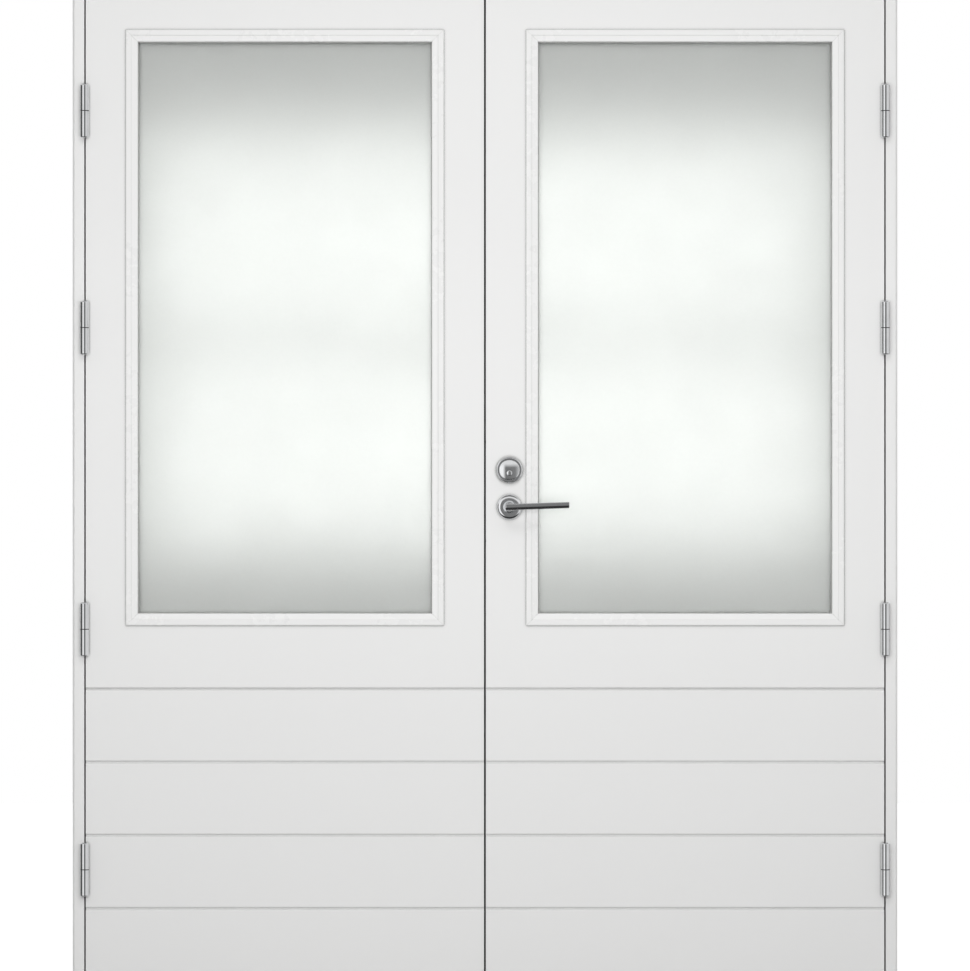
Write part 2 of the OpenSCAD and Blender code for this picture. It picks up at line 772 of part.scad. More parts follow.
// Lock: teeth of a pinion, and of a rack whose pitch line is y = 0
function involute(a) = tan(a) * 180 / PI - a;
function tooth_half(r) = 90 / teeth - tooth_clear / pitch_r * 180 / PI + involute(pressure)
    - involute(acos(min(1, pitch_r * cos(pressure) / r)));
function flank(c, side) = [for (r = [root_r, for (i = [0 : 4]) lerp(pitch_r * cos(pressure), tip_r, i / 4)])
    let (a = c + side * tooth_half(max(r, pitch_r * cos(pressure)))) [r * cos(a), r * sin(a)]];
function back_to_front(list) = [for (i = [len(list) - 1 : -1 : 0]) list[i]];
function pinion_points() = [for (k = [0 : teeth - 1]) each
    concat(flank(k * 360 / teeth, -1), back_to_front(flank(k * 360 / teeth, 1)))];
function rack_points(first, last) = let (
    half = tooth_pitch / 4 - tooth_clear,
    tip = half - addendum * tan(pressure),
    root = half + dedendum * tan(pressure)
) concat(
    [[first * tooth_pitch, -rack_back]],
    [[first * tooth_pitch, -dedendum]],
    [for (i = [first : last - 1]) let (c = (i + 0.5) * tooth_pitch)
        each [[c - root, -dedendum], [c - tip, addendum], [c + tip, addendum], [c + root, -dedendum]]],
    [[last * tooth_pitch, -dedendum]],
    [[last * tooth_pitch, -rack_back]]
);

module pinion(y0, y1) {
    translate([0, y1, 0]) rotate([90, 0, 0]) linear_extrude(y1 - y0) polygon(pinion_points());
}

// The rack at the -X side of a pinion on the Y axis; it is ready to move up
module rack(y) {
    translate([-pitch_r, y, 0]) rotate([-90, -90, 0]) linear_extrude(layer_t)
        polygon(rack_points(-1 - travel_teeth, 1));
}

// A rod that starts as a rack beside the hub and leaves the case as a round bar
module rod(case_end, tip) {
    x0 = -pitch_r - rack_back;
    x1 = -pitch_r - dedendum;
    union() {
        rack(front_layer_y);
        block(x0, x1, front_layer_y, front_layer_y + layer_t, 0, case_end + rod_overlap);
        translate([-rod_x, rod_y, case_end + rod_overlap / 2])
            cylinder(h = tip - case_end - rod_overlap / 2, r = rod_r);
    }
}

module top_rod() {
    color(steel) translate([lock_x, 0, handle_z])
        rod(case_top_z - handle_z, leaf_top_z - rod_end_gap - handle_z);
}

module bottom_rod() {
    color(steel) translate([lock_x, 0, handle_z]) rotate([0, 180, 0])
        rod(handle_z - case_z, handle_z - leaf_z - rod_end_gap);
}

// A bolt under a pinion: a rack in the rear layer behind a full-thickness head
module thrown_bolt() {
    x_tip = -(lock_x - meet_x) + rod_end_gap / 4;
    union() {
        rotate([0, -90, 0]) rack(rear_layer_y);
        block(-bolt_head_end - past, 0, rear_layer_y, rear_layer_y + layer_t,
            -pitch_r - rack_back, -pitch_r - dedendum);
        block(x_tip, -bolt_head_end, front_layer_y, rear_layer_y + layer_t,
            -bolt_drop - bolt_h / 2, -bolt_drop + bolt_h / 2);
    }
}

module centre_bolt() { color(steel) translate([lock_x, 0, handle_z]) thrown_bolt(); }
module deadbolt() { color(steel) translate([lock_x, 0, plug_z]) thrown_bolt(); }

module rod_slot(x, z0, z1) {
    half = (rack_back - dedendum) / 2 + slide_clear;
    block(x - half, x + half, front_layer_y - slide_clear, front_layer_y + layer_t + slide_clear, z0, z1);
}

module lock_case() {
    color(steel) difference() {
        union() {
            block(forend_x, case_x, case_y, case_back_y, case_z, case_top_z);
            block(meet_x, forend_x, mid_y - forend_w / 2, mid_y + forend_w / 2,
                case_z - forend_over, case_top_z + forend_over);
        }
        block(forend_x, case_inner_x, case_y + case_wall, case_back_y - case_wall,
            case_z + case_wall, case_top_z - case_wall);
        for (z = [handle_z, plug_z])
            rod_along_y(lock_x, z, case_y - past, case_back_y + past, journal_r + journal_clear);
        for (z = [handle_z, plug_z])
            block(meet_x - past, forend_x + past,
                front_layer_y - slide_clear, rear_layer_y + layer_t + slide_clear,
                z - bolt_drop - bolt_h / 2 - slide_clear, z - bolt_drop + bolt_h / 2 + slide_clear);
        rod_slot(lock_x - rod_x, case_top_z - case_wall - past, case_top_z + past);
        rod_slot(lock_x + rod_x, case_z - past, case_z + case_wall + past);
    }
}

// A turning piece of the lock: its teeth, and a journal in each wall of the case
module lock_wheel(y0, y1, square) {
    difference() {
        union() {
            pinion(y0, y1);
            rod_along_y(0, 0, case_y + touch, case_back_y - touch, journal_r);
        }
        block(-square / 2 - square_clear, square / 2 + square_clear, case_y - past, case_back_y + past,
            -square / 2 - square_clear, square / 2 + square_clear);
    }
}

module hub() {
    color(steel) translate([lock_x, 0, handle_z])
        lock_wheel(front_layer_y - touch, rear_layer_y + layer_t + touch, spindle_s);
}

module bolt_cam() {
    color(steel) translate([lock_x, 0, plug_z])
        lock_wheel(rear_layer_y - touch, rear_layer_y + layer_t + touch, cam_square);
}

// Handles
module spindle() {
    l = rose_t + lever_reach / 2;
    color(steel) block(lock_x - spindle_s / 2, lock_x + spindle_s / 2, front_y - l, leaf_back_y + l,
        handle_z - spindle_s / 2, handle_z + spindle_s / 2);
}

// A lever on the outer face; its axis is the Y axis and the leaf's face is at y = 0
module lever() {
    edge = 1.2;
    bar = lever_h / 2;
    difference() {
        union() {
            rod_along_y(0, 0, -lever_reach - past, -touch, neck_r);
            rotate([0, -lever_rise, 0]) translate([-lever_heel, 0, 0])
                rotate([0, 90, 0]) linear_extrude(lever_heel + lever_l) polygon([
                    [-bar, -lever_reach], [bar, -lever_reach],
                    [bar, -lever_reach - lever_t + edge], [bar - edge, -lever_reach - lever_t],
                    [edge - bar, -lever_reach - lever_t], [-bar, -lever_reach - lever_t + edge],
                ]);
        }
        block(-spindle_s / 2 - square_clear, spindle_s / 2 + square_clear,
            -rose_t - lever_reach / 2 - touch, past,
            -spindle_s / 2 - square_clear, spindle_s / 2 + square_clear);
    }
}

module outer_lever() { color(chrome) translate([lock_x, front_y, handle_z]) lever(); }
module inner_lever() { color(chrome) translate([lock_x, leaf_back_y, handle_z]) mirror([0, 1, 0]) lever(); }

module rose(bore_r) {
    difference() {
        rounded_disc(rose_r, rose_t, rose_round);
        rod_along_y(0, 0, -rose_t - past, past, bore_r);
    }
}

module handle_roses() {
    color(chrome) {
        translate([lock_x, front_y, handle_z]) rose(neck_r + slide_clear);
        translate([lock_x, leaf_back_y, handle_z]) mirror([0, 1, 0]) rose(neck_r + slide_clear);
    }
}

// The cylinder: its collar, its disc and barrel, and the plug below the middle
module cylinder_ring() {
    color(chrome) translate([lock_x, front_y, cylinder_z]) difference() {
        rounded_disc(collar_r, collar_t, 3);
        rod_along_y(0, 0, -collar_t - past, past, disc_r + touch);
    }
}

module cylinder_body() {
    color(chrome) difference() {
        union() {
            translate([lock_x, front_y, cylinder_z]) rotate([90, 0, 0])
                cylinder(h = collar_t + collar_lip, r1 = disc_r, r2 = disc_r - 1);
            rod_along_y(lock_x, cylinder_z, front_y, case_y - touch, barrel_r);
        }
        rod_along_y(lock_x, plug_z, front_y - collar_t - past, case_y + past, plug_r + journal_clear);
    }
}

module plug() {
    color(steel) difference() {
        rod_along_y(lock_x, plug_z, front_y - collar_t - collar_lip, case_y - touch, plug_r);
        block(lock_x - 0.8, lock_x + 0.8, front_y - collar_t - past, front_y - 2, plug_z - 4, plug_z + 4);
    }
}

module thumb_rose() {
    color(chrome) translate([lock_x, leaf_back_y, plug_z]) mirror([0, 1, 0]) rose(journal_r + slide_clear);
}

// The thumb turn: a flat knob on a round neck, with a square tail in the cam
module thumb_turn() {
    s = cam_square / 2;
    color(chrome) union() {
        block(lock_x - s, lock_x + s, case_y + 2 * touch, leaf_back_y + past, plug_z - s, plug_z + s);
        rod_along_y(lock_x, plug_z, leaf_back_y - past, leaf_back_y + rose_t + 5, journal_r);
        translate([lock_x, leaf_back_y + rose_t + 4, plug_z]) rotate([-90, 0, 0]) linear_extrude(14) union() {
            square([8, 26], center = true);
            for (k = [-1, 1]) translate([0, 13 * k]) circle(4);
        }
    }
}

left_jamb();
right_jamb();
head_jamb();
threshold();
frame_seal();
frame_hinges();
hinge_pins();
frame_hinge_screws();
rod_keeps();
hinge_stile(-1);  // left_hinge_stile
meeting_stile(-1);  // left_meeting_stile
top_rail(-1);  // left_top_rail
middle_rail(-1);  // left_middle_rail
bottom_rail(-1);  // left_bottom_rail
core(-1);  // left_core
upper_face(-1);  // left_upper_face
lower_face(-1);  // left_lower_face
inner_face(-1);  // left_inner_face
outer_pane(-1);  // left_outer_pane
inner_pane(-1);  // left_inner_pane
spacer(-1);  // left_spacer
outer_beads(-1);  // left_outer_beads
inner_beads(-1);  // left_inner_beads
leaf_hinges(-1);  // left_hinges
leaf_hinge_screws(-1);  // left_hinge_screws
hinge_stile(1);  // right_hinge_stile
meeting_stile(1);  // right_meeting_stile
top_rail(1);  // right_top_rail
middle_rail(1);  // right_middle_rail
bottom_rail(1);  // right_bottom_rail
core(1);  // right_core
upper_face(1);  // right_upper_face
lower_face(1);  // right_lower_face
inner_face(1);  // right_inner_face
outer_pane(1);  // right_outer_pane
inner_pane(1);  // right_inner_pane
spacer(1);  // right_spacer
outer_beads(1);  // right_outer_beads
inner_beads(1);  // right_inner_beads
leaf_hinges(1);  // right_hinges
leaf_hinge_screws(1);  // right_hinge_screws
strike_plate();
meeting_seal();
flush_plates();
top_flush_bolt();
bottom_flush_bolt();
lock_case();
hub();
spindle();
outer_lever();
inner_lever();
handle_roses();
centre_bolt();
top_rod();
bottom_rod();
deadbolt();
bolt_cam();
cylinder_ring();
cylinder_body();  // cylinder
plug();
thumb_rose();
thumb_turn();
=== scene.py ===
import json
import math
import bmesh
import bpy
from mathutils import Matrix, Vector


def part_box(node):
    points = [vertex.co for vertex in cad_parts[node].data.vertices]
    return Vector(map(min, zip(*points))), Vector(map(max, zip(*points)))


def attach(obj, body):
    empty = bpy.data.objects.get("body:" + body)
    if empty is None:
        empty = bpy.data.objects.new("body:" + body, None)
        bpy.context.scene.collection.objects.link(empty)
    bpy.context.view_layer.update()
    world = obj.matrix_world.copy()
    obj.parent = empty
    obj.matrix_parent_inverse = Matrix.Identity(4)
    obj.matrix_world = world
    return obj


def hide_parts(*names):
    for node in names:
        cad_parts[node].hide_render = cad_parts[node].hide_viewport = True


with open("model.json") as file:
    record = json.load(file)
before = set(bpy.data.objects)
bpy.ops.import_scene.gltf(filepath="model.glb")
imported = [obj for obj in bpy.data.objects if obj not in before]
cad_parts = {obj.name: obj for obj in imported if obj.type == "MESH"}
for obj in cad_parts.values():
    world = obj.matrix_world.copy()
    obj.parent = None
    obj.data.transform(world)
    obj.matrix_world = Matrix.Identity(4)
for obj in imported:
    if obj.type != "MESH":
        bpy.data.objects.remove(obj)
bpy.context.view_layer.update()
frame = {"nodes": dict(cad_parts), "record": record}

# French doors with their frame: materials for the CAD nodes, and the fine pieces that they lack
nodes = frame["nodes"]
slotOf = {row["node"]: row["material_slot"] for row in frame["record"]["subparts"]}
millimetre = 0.001
scene = bpy.context.scene
numberSocket, colorSocket, vectorSocket = "NodeSocketFloat", "NodeSocketColor", "NodeSocketVector"


# Shader group with its input and output sockets
def newGroup(name, inputs, outputs):
    group = bpy.data.node_groups.new(name, "ShaderNodeTree")
    for label, kind, value in inputs:
        group.interface.new_socket(label, in_out="INPUT", socket_type=kind).default_value = value
    for label, kind in outputs:
        group.interface.new_socket(label, in_out="OUTPUT", socket_type=kind)
    take, give = group.nodes.new("NodeGroupInput"), group.nodes.new("NodeGroupOutput")
    return group, take.outputs, give.inputs


def giveOut(group, give, sources):
    for label, source in sources.items():
        group.links.new(source, give[label])
    return group


# Each input takes a fixed value or another node's output
def addNode(tree, kind, settings=None, inputs=None):
    node = tree.nodes.new(kind)
    for name, value in (settings or {}).items():
        setattr(node, name, value)
    for name, value in (inputs or {}).items():
        if isinstance(value, bpy.types.NodeSocket):
            tree.links.new(value, node.inputs[name])
        else:
            node.inputs[name].default_value = value
    return node


def mathNode(tree, operation, first, second, clamp=False):
    settings = {"operation": operation, "use_clamp": clamp}
    return addNode(tree, "ShaderNodeMath", settings, {0: first, 1: second}).outputs[0]


def plus(tree, first, second, clamp=False):
    return mathNode(tree, "ADD", first, second, clamp)


def minus(tree, first, second):
    return mathNode(tree, "SUBTRACT", first, second)


def times(tree, first, second):
    return mathNode(tree, "MULTIPLY", first, second)


def vectorNode(tree, operation, inputs, output=0):
    return addNode(tree, "ShaderNodeVectorMath", {"operation": operation}, inputs).outputs[output]


def noiseField(tree, vector, scale, detail=3.0, roughness=0.5):
    inputs = {"Vector": vector, "Scale": scale, "Detail": detail, "Roughness": roughness}
    return addNode(tree, "ShaderNodeTexNoise", None, inputs).outputs[0]


def blendColors(tree, factor, first, second):
    inputs = {0: factor, 6: first, 7: second}
    return addNode(tree, "ShaderNodeMix", {"data_type": "RGBA"}, inputs).outputs[2]


def span(tree, value, low, high, toLow=0.0, toHigh=1.0):
    inputs = {"Value": value, "From Min": low, "From Max": high, "To Min": toLow, "To Max": toHigh}
    return addNode(tree, "ShaderNodeMapRange", {"clamp": True}, inputs).outputs["Result"]


def stretched(tree, vector, stretch):
    return vectorNode(tree, "MULTIPLY", {0: vector, 1: stretch})


def objectPoint(tree):
    return tree.nodes.new("ShaderNodeTexCoord").outputs["Object"]


# In each group's dictionary a noise is (scale, detail, roughness), and a span is (from, to)
filmNoise = {
    "cloud": (2.2, 4.0), "fleck": (60.0, 5.0, 0.6), "strokes": (900.0, 3.0, 0.65), "peelDetail": 2.0,
    "cloudShare": 0.7, "fleckShare": 0.3, "peelShare": 0.5, "roughSwing": 0.16,
}


# Soft cloudy shade, fine orange peel and long faint strokes of a sprayed or brushed paint film
def makePaintFilm():
    group, take, give = newGroup("paintFilm", [
        ("Colour", colorSocket, (0.8, 0.8, 0.8, 1)), ("Shade", numberSocket, 0.02),
        ("Strokes", numberSocket, 0.3), ("Stroke Stretch", vectorSocket, (1, 1, 0.04)),
        ("Roughness", numberSocket, 0.3), ("Peel Size", numberSocket, 420.0),
    ], [("Colour", colorSocket), ("Roughness", numberSocket), ("Height", numberSocket)])
    look = filmNoise
    point = objectPoint(group)
    cloud = noiseField(group, point, *look["cloud"])
    fleck = noiseField(group, point, *look["fleck"])
    peel = noiseField(group, point, take["Peel Size"], look["peelDetail"])
    strokes = noiseField(group, stretched(group, point, take["Stroke Stretch"]), *look["strokes"])
    mixed = plus(group, times(group, cloud, look["cloudShare"]), times(group, fleck, look["fleckShare"]))
    shade = minus(group, 1.0, times(group, take["Shade"], mixed))
    swing = times(group, minus(group, mixed, 0.5), look["roughSwing"])
    return giveOut(group, give, {
        "Colour": vectorNode(group, "SCALE", {0: take["Colour"], "Scale": shade}),
        "Roughness": plus(group, take["Roughness"], swing),
        "Height": plus(group, times(group, peel, look["peelShare"]), times(group, strokes, take["Strokes"])),
    })


rubNoise = {"samples": 4, "edge": (0.995, 0.86), "detail": 5.0, "roughness": 0.65, "torn": (0.42, 0.62)}


# Rubbed edges, whose darker colour on the white bead also paints shade along its ridge lines: 1 along convex
# and concave edges, broken up by noise
def makeEdgeRubAndShade():
    group, take, give = newGroup("edgeRubAndShade", [
        ("Radius", numberSocket, 0.002), ("Break Up", numberSocket, 30.0),
        ("Amount", numberSocket, 0.5),
    ], [("Mask", numberSocket)])
    look = rubNoise
    bevel = addNode(group, "ShaderNodeBevel", {"samples": look["samples"]}, {"Radius": take["Radius"]})
    normal = addNode(group, "ShaderNodeNewGeometry").outputs["Normal"]
    same = vectorNode(group, "DOT_PRODUCT", {0: bevel.outputs[0], 1: normal}, "Value")
    edge = span(group, same, *look["edge"])
    breaks = noiseField(group, objectPoint(group), take["Break Up"], look["detail"], look["roughness"])
    torn = span(group, breaks, *look["torn"])
    return giveOut(group, give, {"Mask": times(group, times(group, edge, torn), take["Amount"])})


paintedShadeNoise = {
    "samples": 6, "deep": (0.88, 0.38), "patches": (14.0, 4.0, 0.6), "uneven": (0.3, 0.7, 0.8, 1.0),
}


# Painted shade in grooves and corners, read from ambient occlusion: 1 deep inside, 0 on an open face
def makePaintedCornerShade():
    group, take, give = newGroup("cornerShade", [
        ("Reach", numberSocket, 0.006), ("Amount", numberSocket, 0.6),
    ], [("Mask", numberSocket)])
    look = paintedShadeNoise
    hidden = addNode(group, "ShaderNodeAmbientOcclusion", {"samples": look["samples"]},
                     {"Distance": take["Reach"]})
    deep = span(group, hidden.outputs["AO"], *look["deep"])
    uneven = span(group, noiseField(group, objectPoint(group), *look["patches"]), *look["uneven"])
    return giveOut(group, give, {"Mask": times(group, times(group, deep, uneven), take["Amount"])})


markNoise = {"lines": (2600.0, 4.0, 0.7), "smudges": (38.0, 5.0, 0.6), "smudgeSpan": (0.42, 0.72)}


# Hairline brushing or polishing marks along one direction, under cloudy smudges
def makeMetalMarks():
    group, take, give = newGroup("metalMarks", [
        ("Stretch", vectorSocket, (1, 1, 0.02)), ("Roughness", numberSocket, 0.2),
        ("Spread", numberSocket, 0.1), ("Smudges", numberSocket, 0.06),
    ], [("Roughness", numberSocket), ("Height", numberSocket), ("Smudge", numberSocket)])
    look = markNoise
    point = objectPoint(group)
    lines = noiseField(group, stretched(group, point, take["Stretch"]), *look["lines"])
    smudge = span(group, noiseField(group, point, *look["smudges"]), *look["smudgeSpan"])
    marks = plus(group, times(group, lines, take["Spread"]), times(group, smudge, take["Smudges"]))
    rough = plus(group, take["Roughness"], marks)
    return giveOut(group, give, {"Roughness": rough, "Height": lines, "Smudge": smudge})


grainNoise = {
    "bandStretch": (1.6, 60, 60), "bands": (1.0, 4.0, 0.6),
    "fibreStretch": (14, 700, 700), "fibres": (1.0, 4.0, 0.7),
    "poreStretch": (60, 1500, 1500), "pores": (1.0, 2.0), "poreSpan": (0.62, 0.72),
    "bandShare": 0.7, "fibreShare": 0.45, "tone": (0.35, 0.78), "poreShade": 0.6, "poreDepth": 1.5,
}


# Straight open grain along X with pores and slow bands of colour
def makeWoodGrain():
    group, take, give = newGroup("woodGrain", [
        ("Light", colorSocket, (0.5, 0.3, 0.15, 1)), ("Dark", colorSocket, (0.2, 0.1, 0.05, 1)),
    ], [("Colour", colorSocket), ("Height", numberSocket), ("Pores", numberSocket)])
    look = grainNoise
    point = objectPoint(group)
    bands = noiseField(group, stretched(group, point, look["bandStretch"]), *look["bands"])
    fibres = noiseField(group, stretched(group, point, look["fibreStretch"]), *look["fibres"])
    openings = noiseField(group, stretched(group, point, look["poreStretch"]), *look["pores"])
    pores = span(group, openings, *look["poreSpan"])
    tone = plus(group, times(group, bands, look["bandShare"]), times(group, fibres, look["fibreShare"]))
    colour = blendColors(group, span(group, tone, *look["tone"]), take["Light"], take["Dark"])
    colour = blendColors(group, times(group, pores, look["poreShade"]), colour, take["Dark"])
    height = minus(group, fibres, times(group, pores, look["poreDepth"]))
    return giveOut(group, give, {"Colour": colour, "Height": height, "Pores": pores})


frostNoise = {
    "patches": (9.0, 5.0, 0.6), "grain": (190.0, 3.0, 0.7), "specks": (700.0, 2.0, 0.6),
    "patchShare": 0.45, "grainShare": 0.55, "speckShare": 0.5, "roughSwing": 0.18,
}


# Cloudy patches and fine grain of an etched pane
def makeFrostCloud():
    group, take, give = newGroup("frostCloud", [
        ("Tint", colorSocket, (0.9, 0.92, 0.9, 1)), ("Patch", numberSocket, 0.05),
        ("Roughness", numberSocket, 0.5),
    ], [("Colour", colorSocket), ("Roughness", numberSocket), ("Height", numberSocket)])
    look = frostNoise
    point = objectPoint(group)
    patches = noiseField(group, point, *look["patches"])
    grain = noiseField(group, point, *look["grain"])
    specks = noiseField(group, point, *look["specks"])
    mixed = plus(group, times(group, patches, look["patchShare"]), times(group, grain, look["grainShare"]))
    shade = minus(group, 1.0, times(group, take["Patch"], mixed))
    swing = times(group, minus(group, mixed, 0.5), look["roughSwing"])
    return giveOut(group, give, {
        "Colour": vectorNode(group, "SCALE", {0: take["Tint"], "Scale": shade}),
        "Roughness": plus(group, take["Roughness"], swing),
        "Height": plus(group, grain, times(group, specks, look["speckShare"])),
    })


paintFilm, edgeRubAndShade, metalMarks = makePaintFilm(), makeEdgeRubAndShade(), makeMetalMarks()
woodGrain, frostCloud, cornerShade = makeWoodGrain(), makeFrostCloud(), makePaintedCornerShade()
print("shader groups made")


def newMaterial(name, shader):
    material = bpy.data.materials.new(name)
    material.use_nodes = True
    tree = material.node_tree
    principled = tree.nodes["Principled BSDF"]
    for label, value in shader.items():
        principled.inputs[label].default_value = value
    return material, tree, principled


def placeGroup(tree, group, values):
    return addNode(tree, "ShaderNodeGroup", {"node_tree": group}, values).outputs


def bumpInto(tree, principled, height, look):
    inputs = {"Strength": look["bump"], "Distance": look["depth"], "Height": height}
    bump = addNode(tree, "ShaderNodeBump", None, inputs)
    tree.links.new(bump.outputs["Normal"], principled.inputs["Normal"])


rubRoughness = 0.2  # how much duller a rubbed painted edge is


def paintMaterial(name, look):
    material, tree, principled = newMaterial(name, look["shader"])
    film = placeGroup(tree, paintFilm, look["film"])
    rub = placeGroup(tree, edgeRubAndShade, look["rub"])
    # Rubbed edges: wear, and on the white bead also painted shade along its ridge lines
    colour = blendColors(tree, rub["Mask"], film["Colour"], look["rubColour"])
    # Painted shade: the colour darkens towards a dark grey in grooves and corners where ambient occlusion is
    # deep
    if "corner" in look:
        corner = placeGroup(tree, cornerShade, look["corner"])
        colour = blendColors(tree, corner["Mask"], colour, look["cornerColour"])
    tree.links.new(colour, principled.inputs["Base Color"])
    rough = plus(tree, film["Roughness"], times(tree, rub["Mask"], rubRoughness), clamp=True)
    tree.links.new(rough, principled.inputs["Roughness"])
    bumpInto(tree, principled, film["Height"], look)
    return material


def metalMaterial(name, look):
    material, tree, principled = newMaterial(name, look["shader"])
    marks = placeGroup(tree, metalMarks, look["marks"])
    rub = placeGroup(tree, edgeRubAndShade, look["rub"])
    dull = times(tree, marks["Smudge"], look["dulling"])
    colour = blendColors(tree, dull, look["colour"], look["dullColour"])
    colour = blendColors(tree, rub["Mask"], colour, look["rubColour"])
    tree.links.new(colour, principled.inputs["Base Color"])
    tree.links.new(marks["Roughness"], principled.inputs["Roughness"])
    bumpInto(tree, principled, marks["Height"], look)
    return material


def glassMaterial(name, look):
    material, tree, principled = newMaterial(name, look["shader"])
    if "frost" in look:
        frost = placeGroup(tree, frostCloud, look["frost"])
        tree.links.new(frost["Colour"], principled.inputs["Base Color"])
        tree.links.new(frost["Roughness"], principled.inputs["Roughness"])
        height = frost["Height"]
    else:
        height = noiseField(tree, objectPoint(tree), *look["ripple"])
    bumpInto(tree, principled, height, look)
    return material


def woodMaterial(name, look):
    material, tree, principled = newMaterial(name, look["shader"])
    grain = placeGroup(tree, woodGrain, look["grain"])
    rub = placeGroup(tree, edgeRubAndShade, look["rub"])
    colour = blendColors(tree, rub["Mask"], grain["Colour"], look["rubColour"])
    tree.links.new(colour, principled.inputs["Base Color"])
    rough = plus(tree, look["roughness"], times(tree, grain["Pores"], look["poreRoughness"]))
    tree.links.new(rough, principled.inputs["Roughness"])
    bumpInto(tree, principled, grain["Height"], look)
    return material


paintLooks = {
    "painted_frame": {
        "shader": {"IOR": 1.5, "Coat Weight": 0.25, "Coat Roughness": 0.12},
        "film": {"Colour": (0.80, 0.80, 0.795, 1), "Shade": 0.03, "Strokes": 0.5, "Roughness": 0.34,
                 "Stroke Stretch": (1, 1, 0.03), "Peel Size": 380.0},
        "rub": {"Radius": 0.0016, "Break Up": 26.0, "Amount": 0.25}, "rubColour": (0.72, 0.72, 0.71, 1),
        "bump": 0.10, "depth": 0.0006,
    },
    "painted_timber": {
        "shader": {"IOR": 1.5, "Coat Weight": 0.2, "Coat Roughness": 0.15},
        "film": {"Colour": (0.79, 0.79, 0.78, 1), "Shade": 0.05, "Strokes": 0.7, "Roughness": 0.38,
                 "Stroke Stretch": (1, 1, 0.03), "Peel Size": 380.0},
        "rub": {"Radius": 0.0016, "Break Up": 26.0, "Amount": 0.35}, "rubColour": (0.68, 0.68, 0.66, 1),
        "bump": 0.14, "depth": 0.0006,
    },
    "painted_face": {
        "shader": {"IOR": 1.5, "Coat Weight": 0.25, "Coat Roughness": 0.12},
        "film": {"Colour": (0.80, 0.80, 0.795, 1), "Shade": 0.03, "Strokes": 0.1, "Roughness": 0.33,
                 "Stroke Stretch": (1, 1, 0.2), "Peel Size": 460.0},
        "rub": {"Radius": 0.0014, "Break Up": 22.0, "Amount": 0.15}, "rubColour": (0.72, 0.72, 0.71, 1),
        # painted shade: grooves, the beads' feet and the gaps darkened towards a dark grey
        "corner": {"Reach": 0.007, "Amount": 0.9}, "cornerColour": (0.16, 0.16, 0.155, 1),
        "bump": 0.08, "depth": 0.0005,
    },
    "white_bead": {
        "shader": {"IOR": 1.5, "Coat Weight": 0.35, "Coat Roughness": 0.08},
        "film": {"Colour": (0.82, 0.82, 0.815, 1), "Shade": 0.03, "Strokes": 0.15, "Roughness": 0.27,
                 "Stroke Stretch": (1, 1, 0.1), "Peel Size": 520.0},
        # edge rub: partly wear, partly painted shade along the bead's ridge lines
        "rub": {"Radius": 0.0012, "Break Up": 30.0, "Amount": 0.15}, "rubColour": (0.70, 0.70, 0.70, 1),
        # painted shade: the bead's corners darkened a little towards grey
        "corner": {"Reach": 0.004, "Amount": 0.3}, "cornerColour": (0.3, 0.3, 0.295, 1),
        "bump": 0.06, "depth": 0.0004,
    },
    "black_rubber": {
        "shader": {"IOR": 1.5, "Specular IOR Level": 0.4},
        "film": {"Colour": (0.022, 0.022, 0.024, 1), "Shade": 0.3, "Strokes": 0.4, "Roughness": 0.52,
                 "Stroke Stretch": (1, 1, 0.05), "Peel Size": 700.0},
        "rub": {"Radius": 0.0006, "Break Up": 80.0, "Amount": 0.4}, "rubColour": (0.06, 0.06, 0.06, 1),
        "bump": 0.2, "depth": 0.0003,
    },
    # grey silicone, its colour partly a painted shade line along the glass's edge
    "pale_silicone": {
        "shader": {"IOR": 1.43, "Specular IOR Level": 0.35},
        "film": {"Colour": (0.42, 0.42, 0.41, 1), "Shade": 0.12, "Strokes": 0.3, "Roughness": 0.42,
                 "Stroke Stretch": (1, 1, 0.08), "Peel Size": 600.0},
        "rub": {"Radius": 0.0006, "Break Up": 60.0, "Amount": 0.2}, "rubColour": (0.5, 0.5, 0.49, 1),
        "bump": 0.12, "depth": 0.0003,
    },
    "core_board": {
        "shader": {"IOR": 1.4},
        "film": {"Colour": (0.42, 0.33, 0.22, 1), "Shade": 0.25, "Strokes": 0.5, "Roughness": 0.8,
                 "Stroke Stretch": (1, 1, 0.1), "Peel Size": 300.0},
        "rub": {"Radius": 0.001, "Break Up": 40.0, "Amount": 0.2}, "rubColour": (0.5, 0.42, 0.3, 1),
        "bump": 0.3, "depth": 0.0005,
    },
}
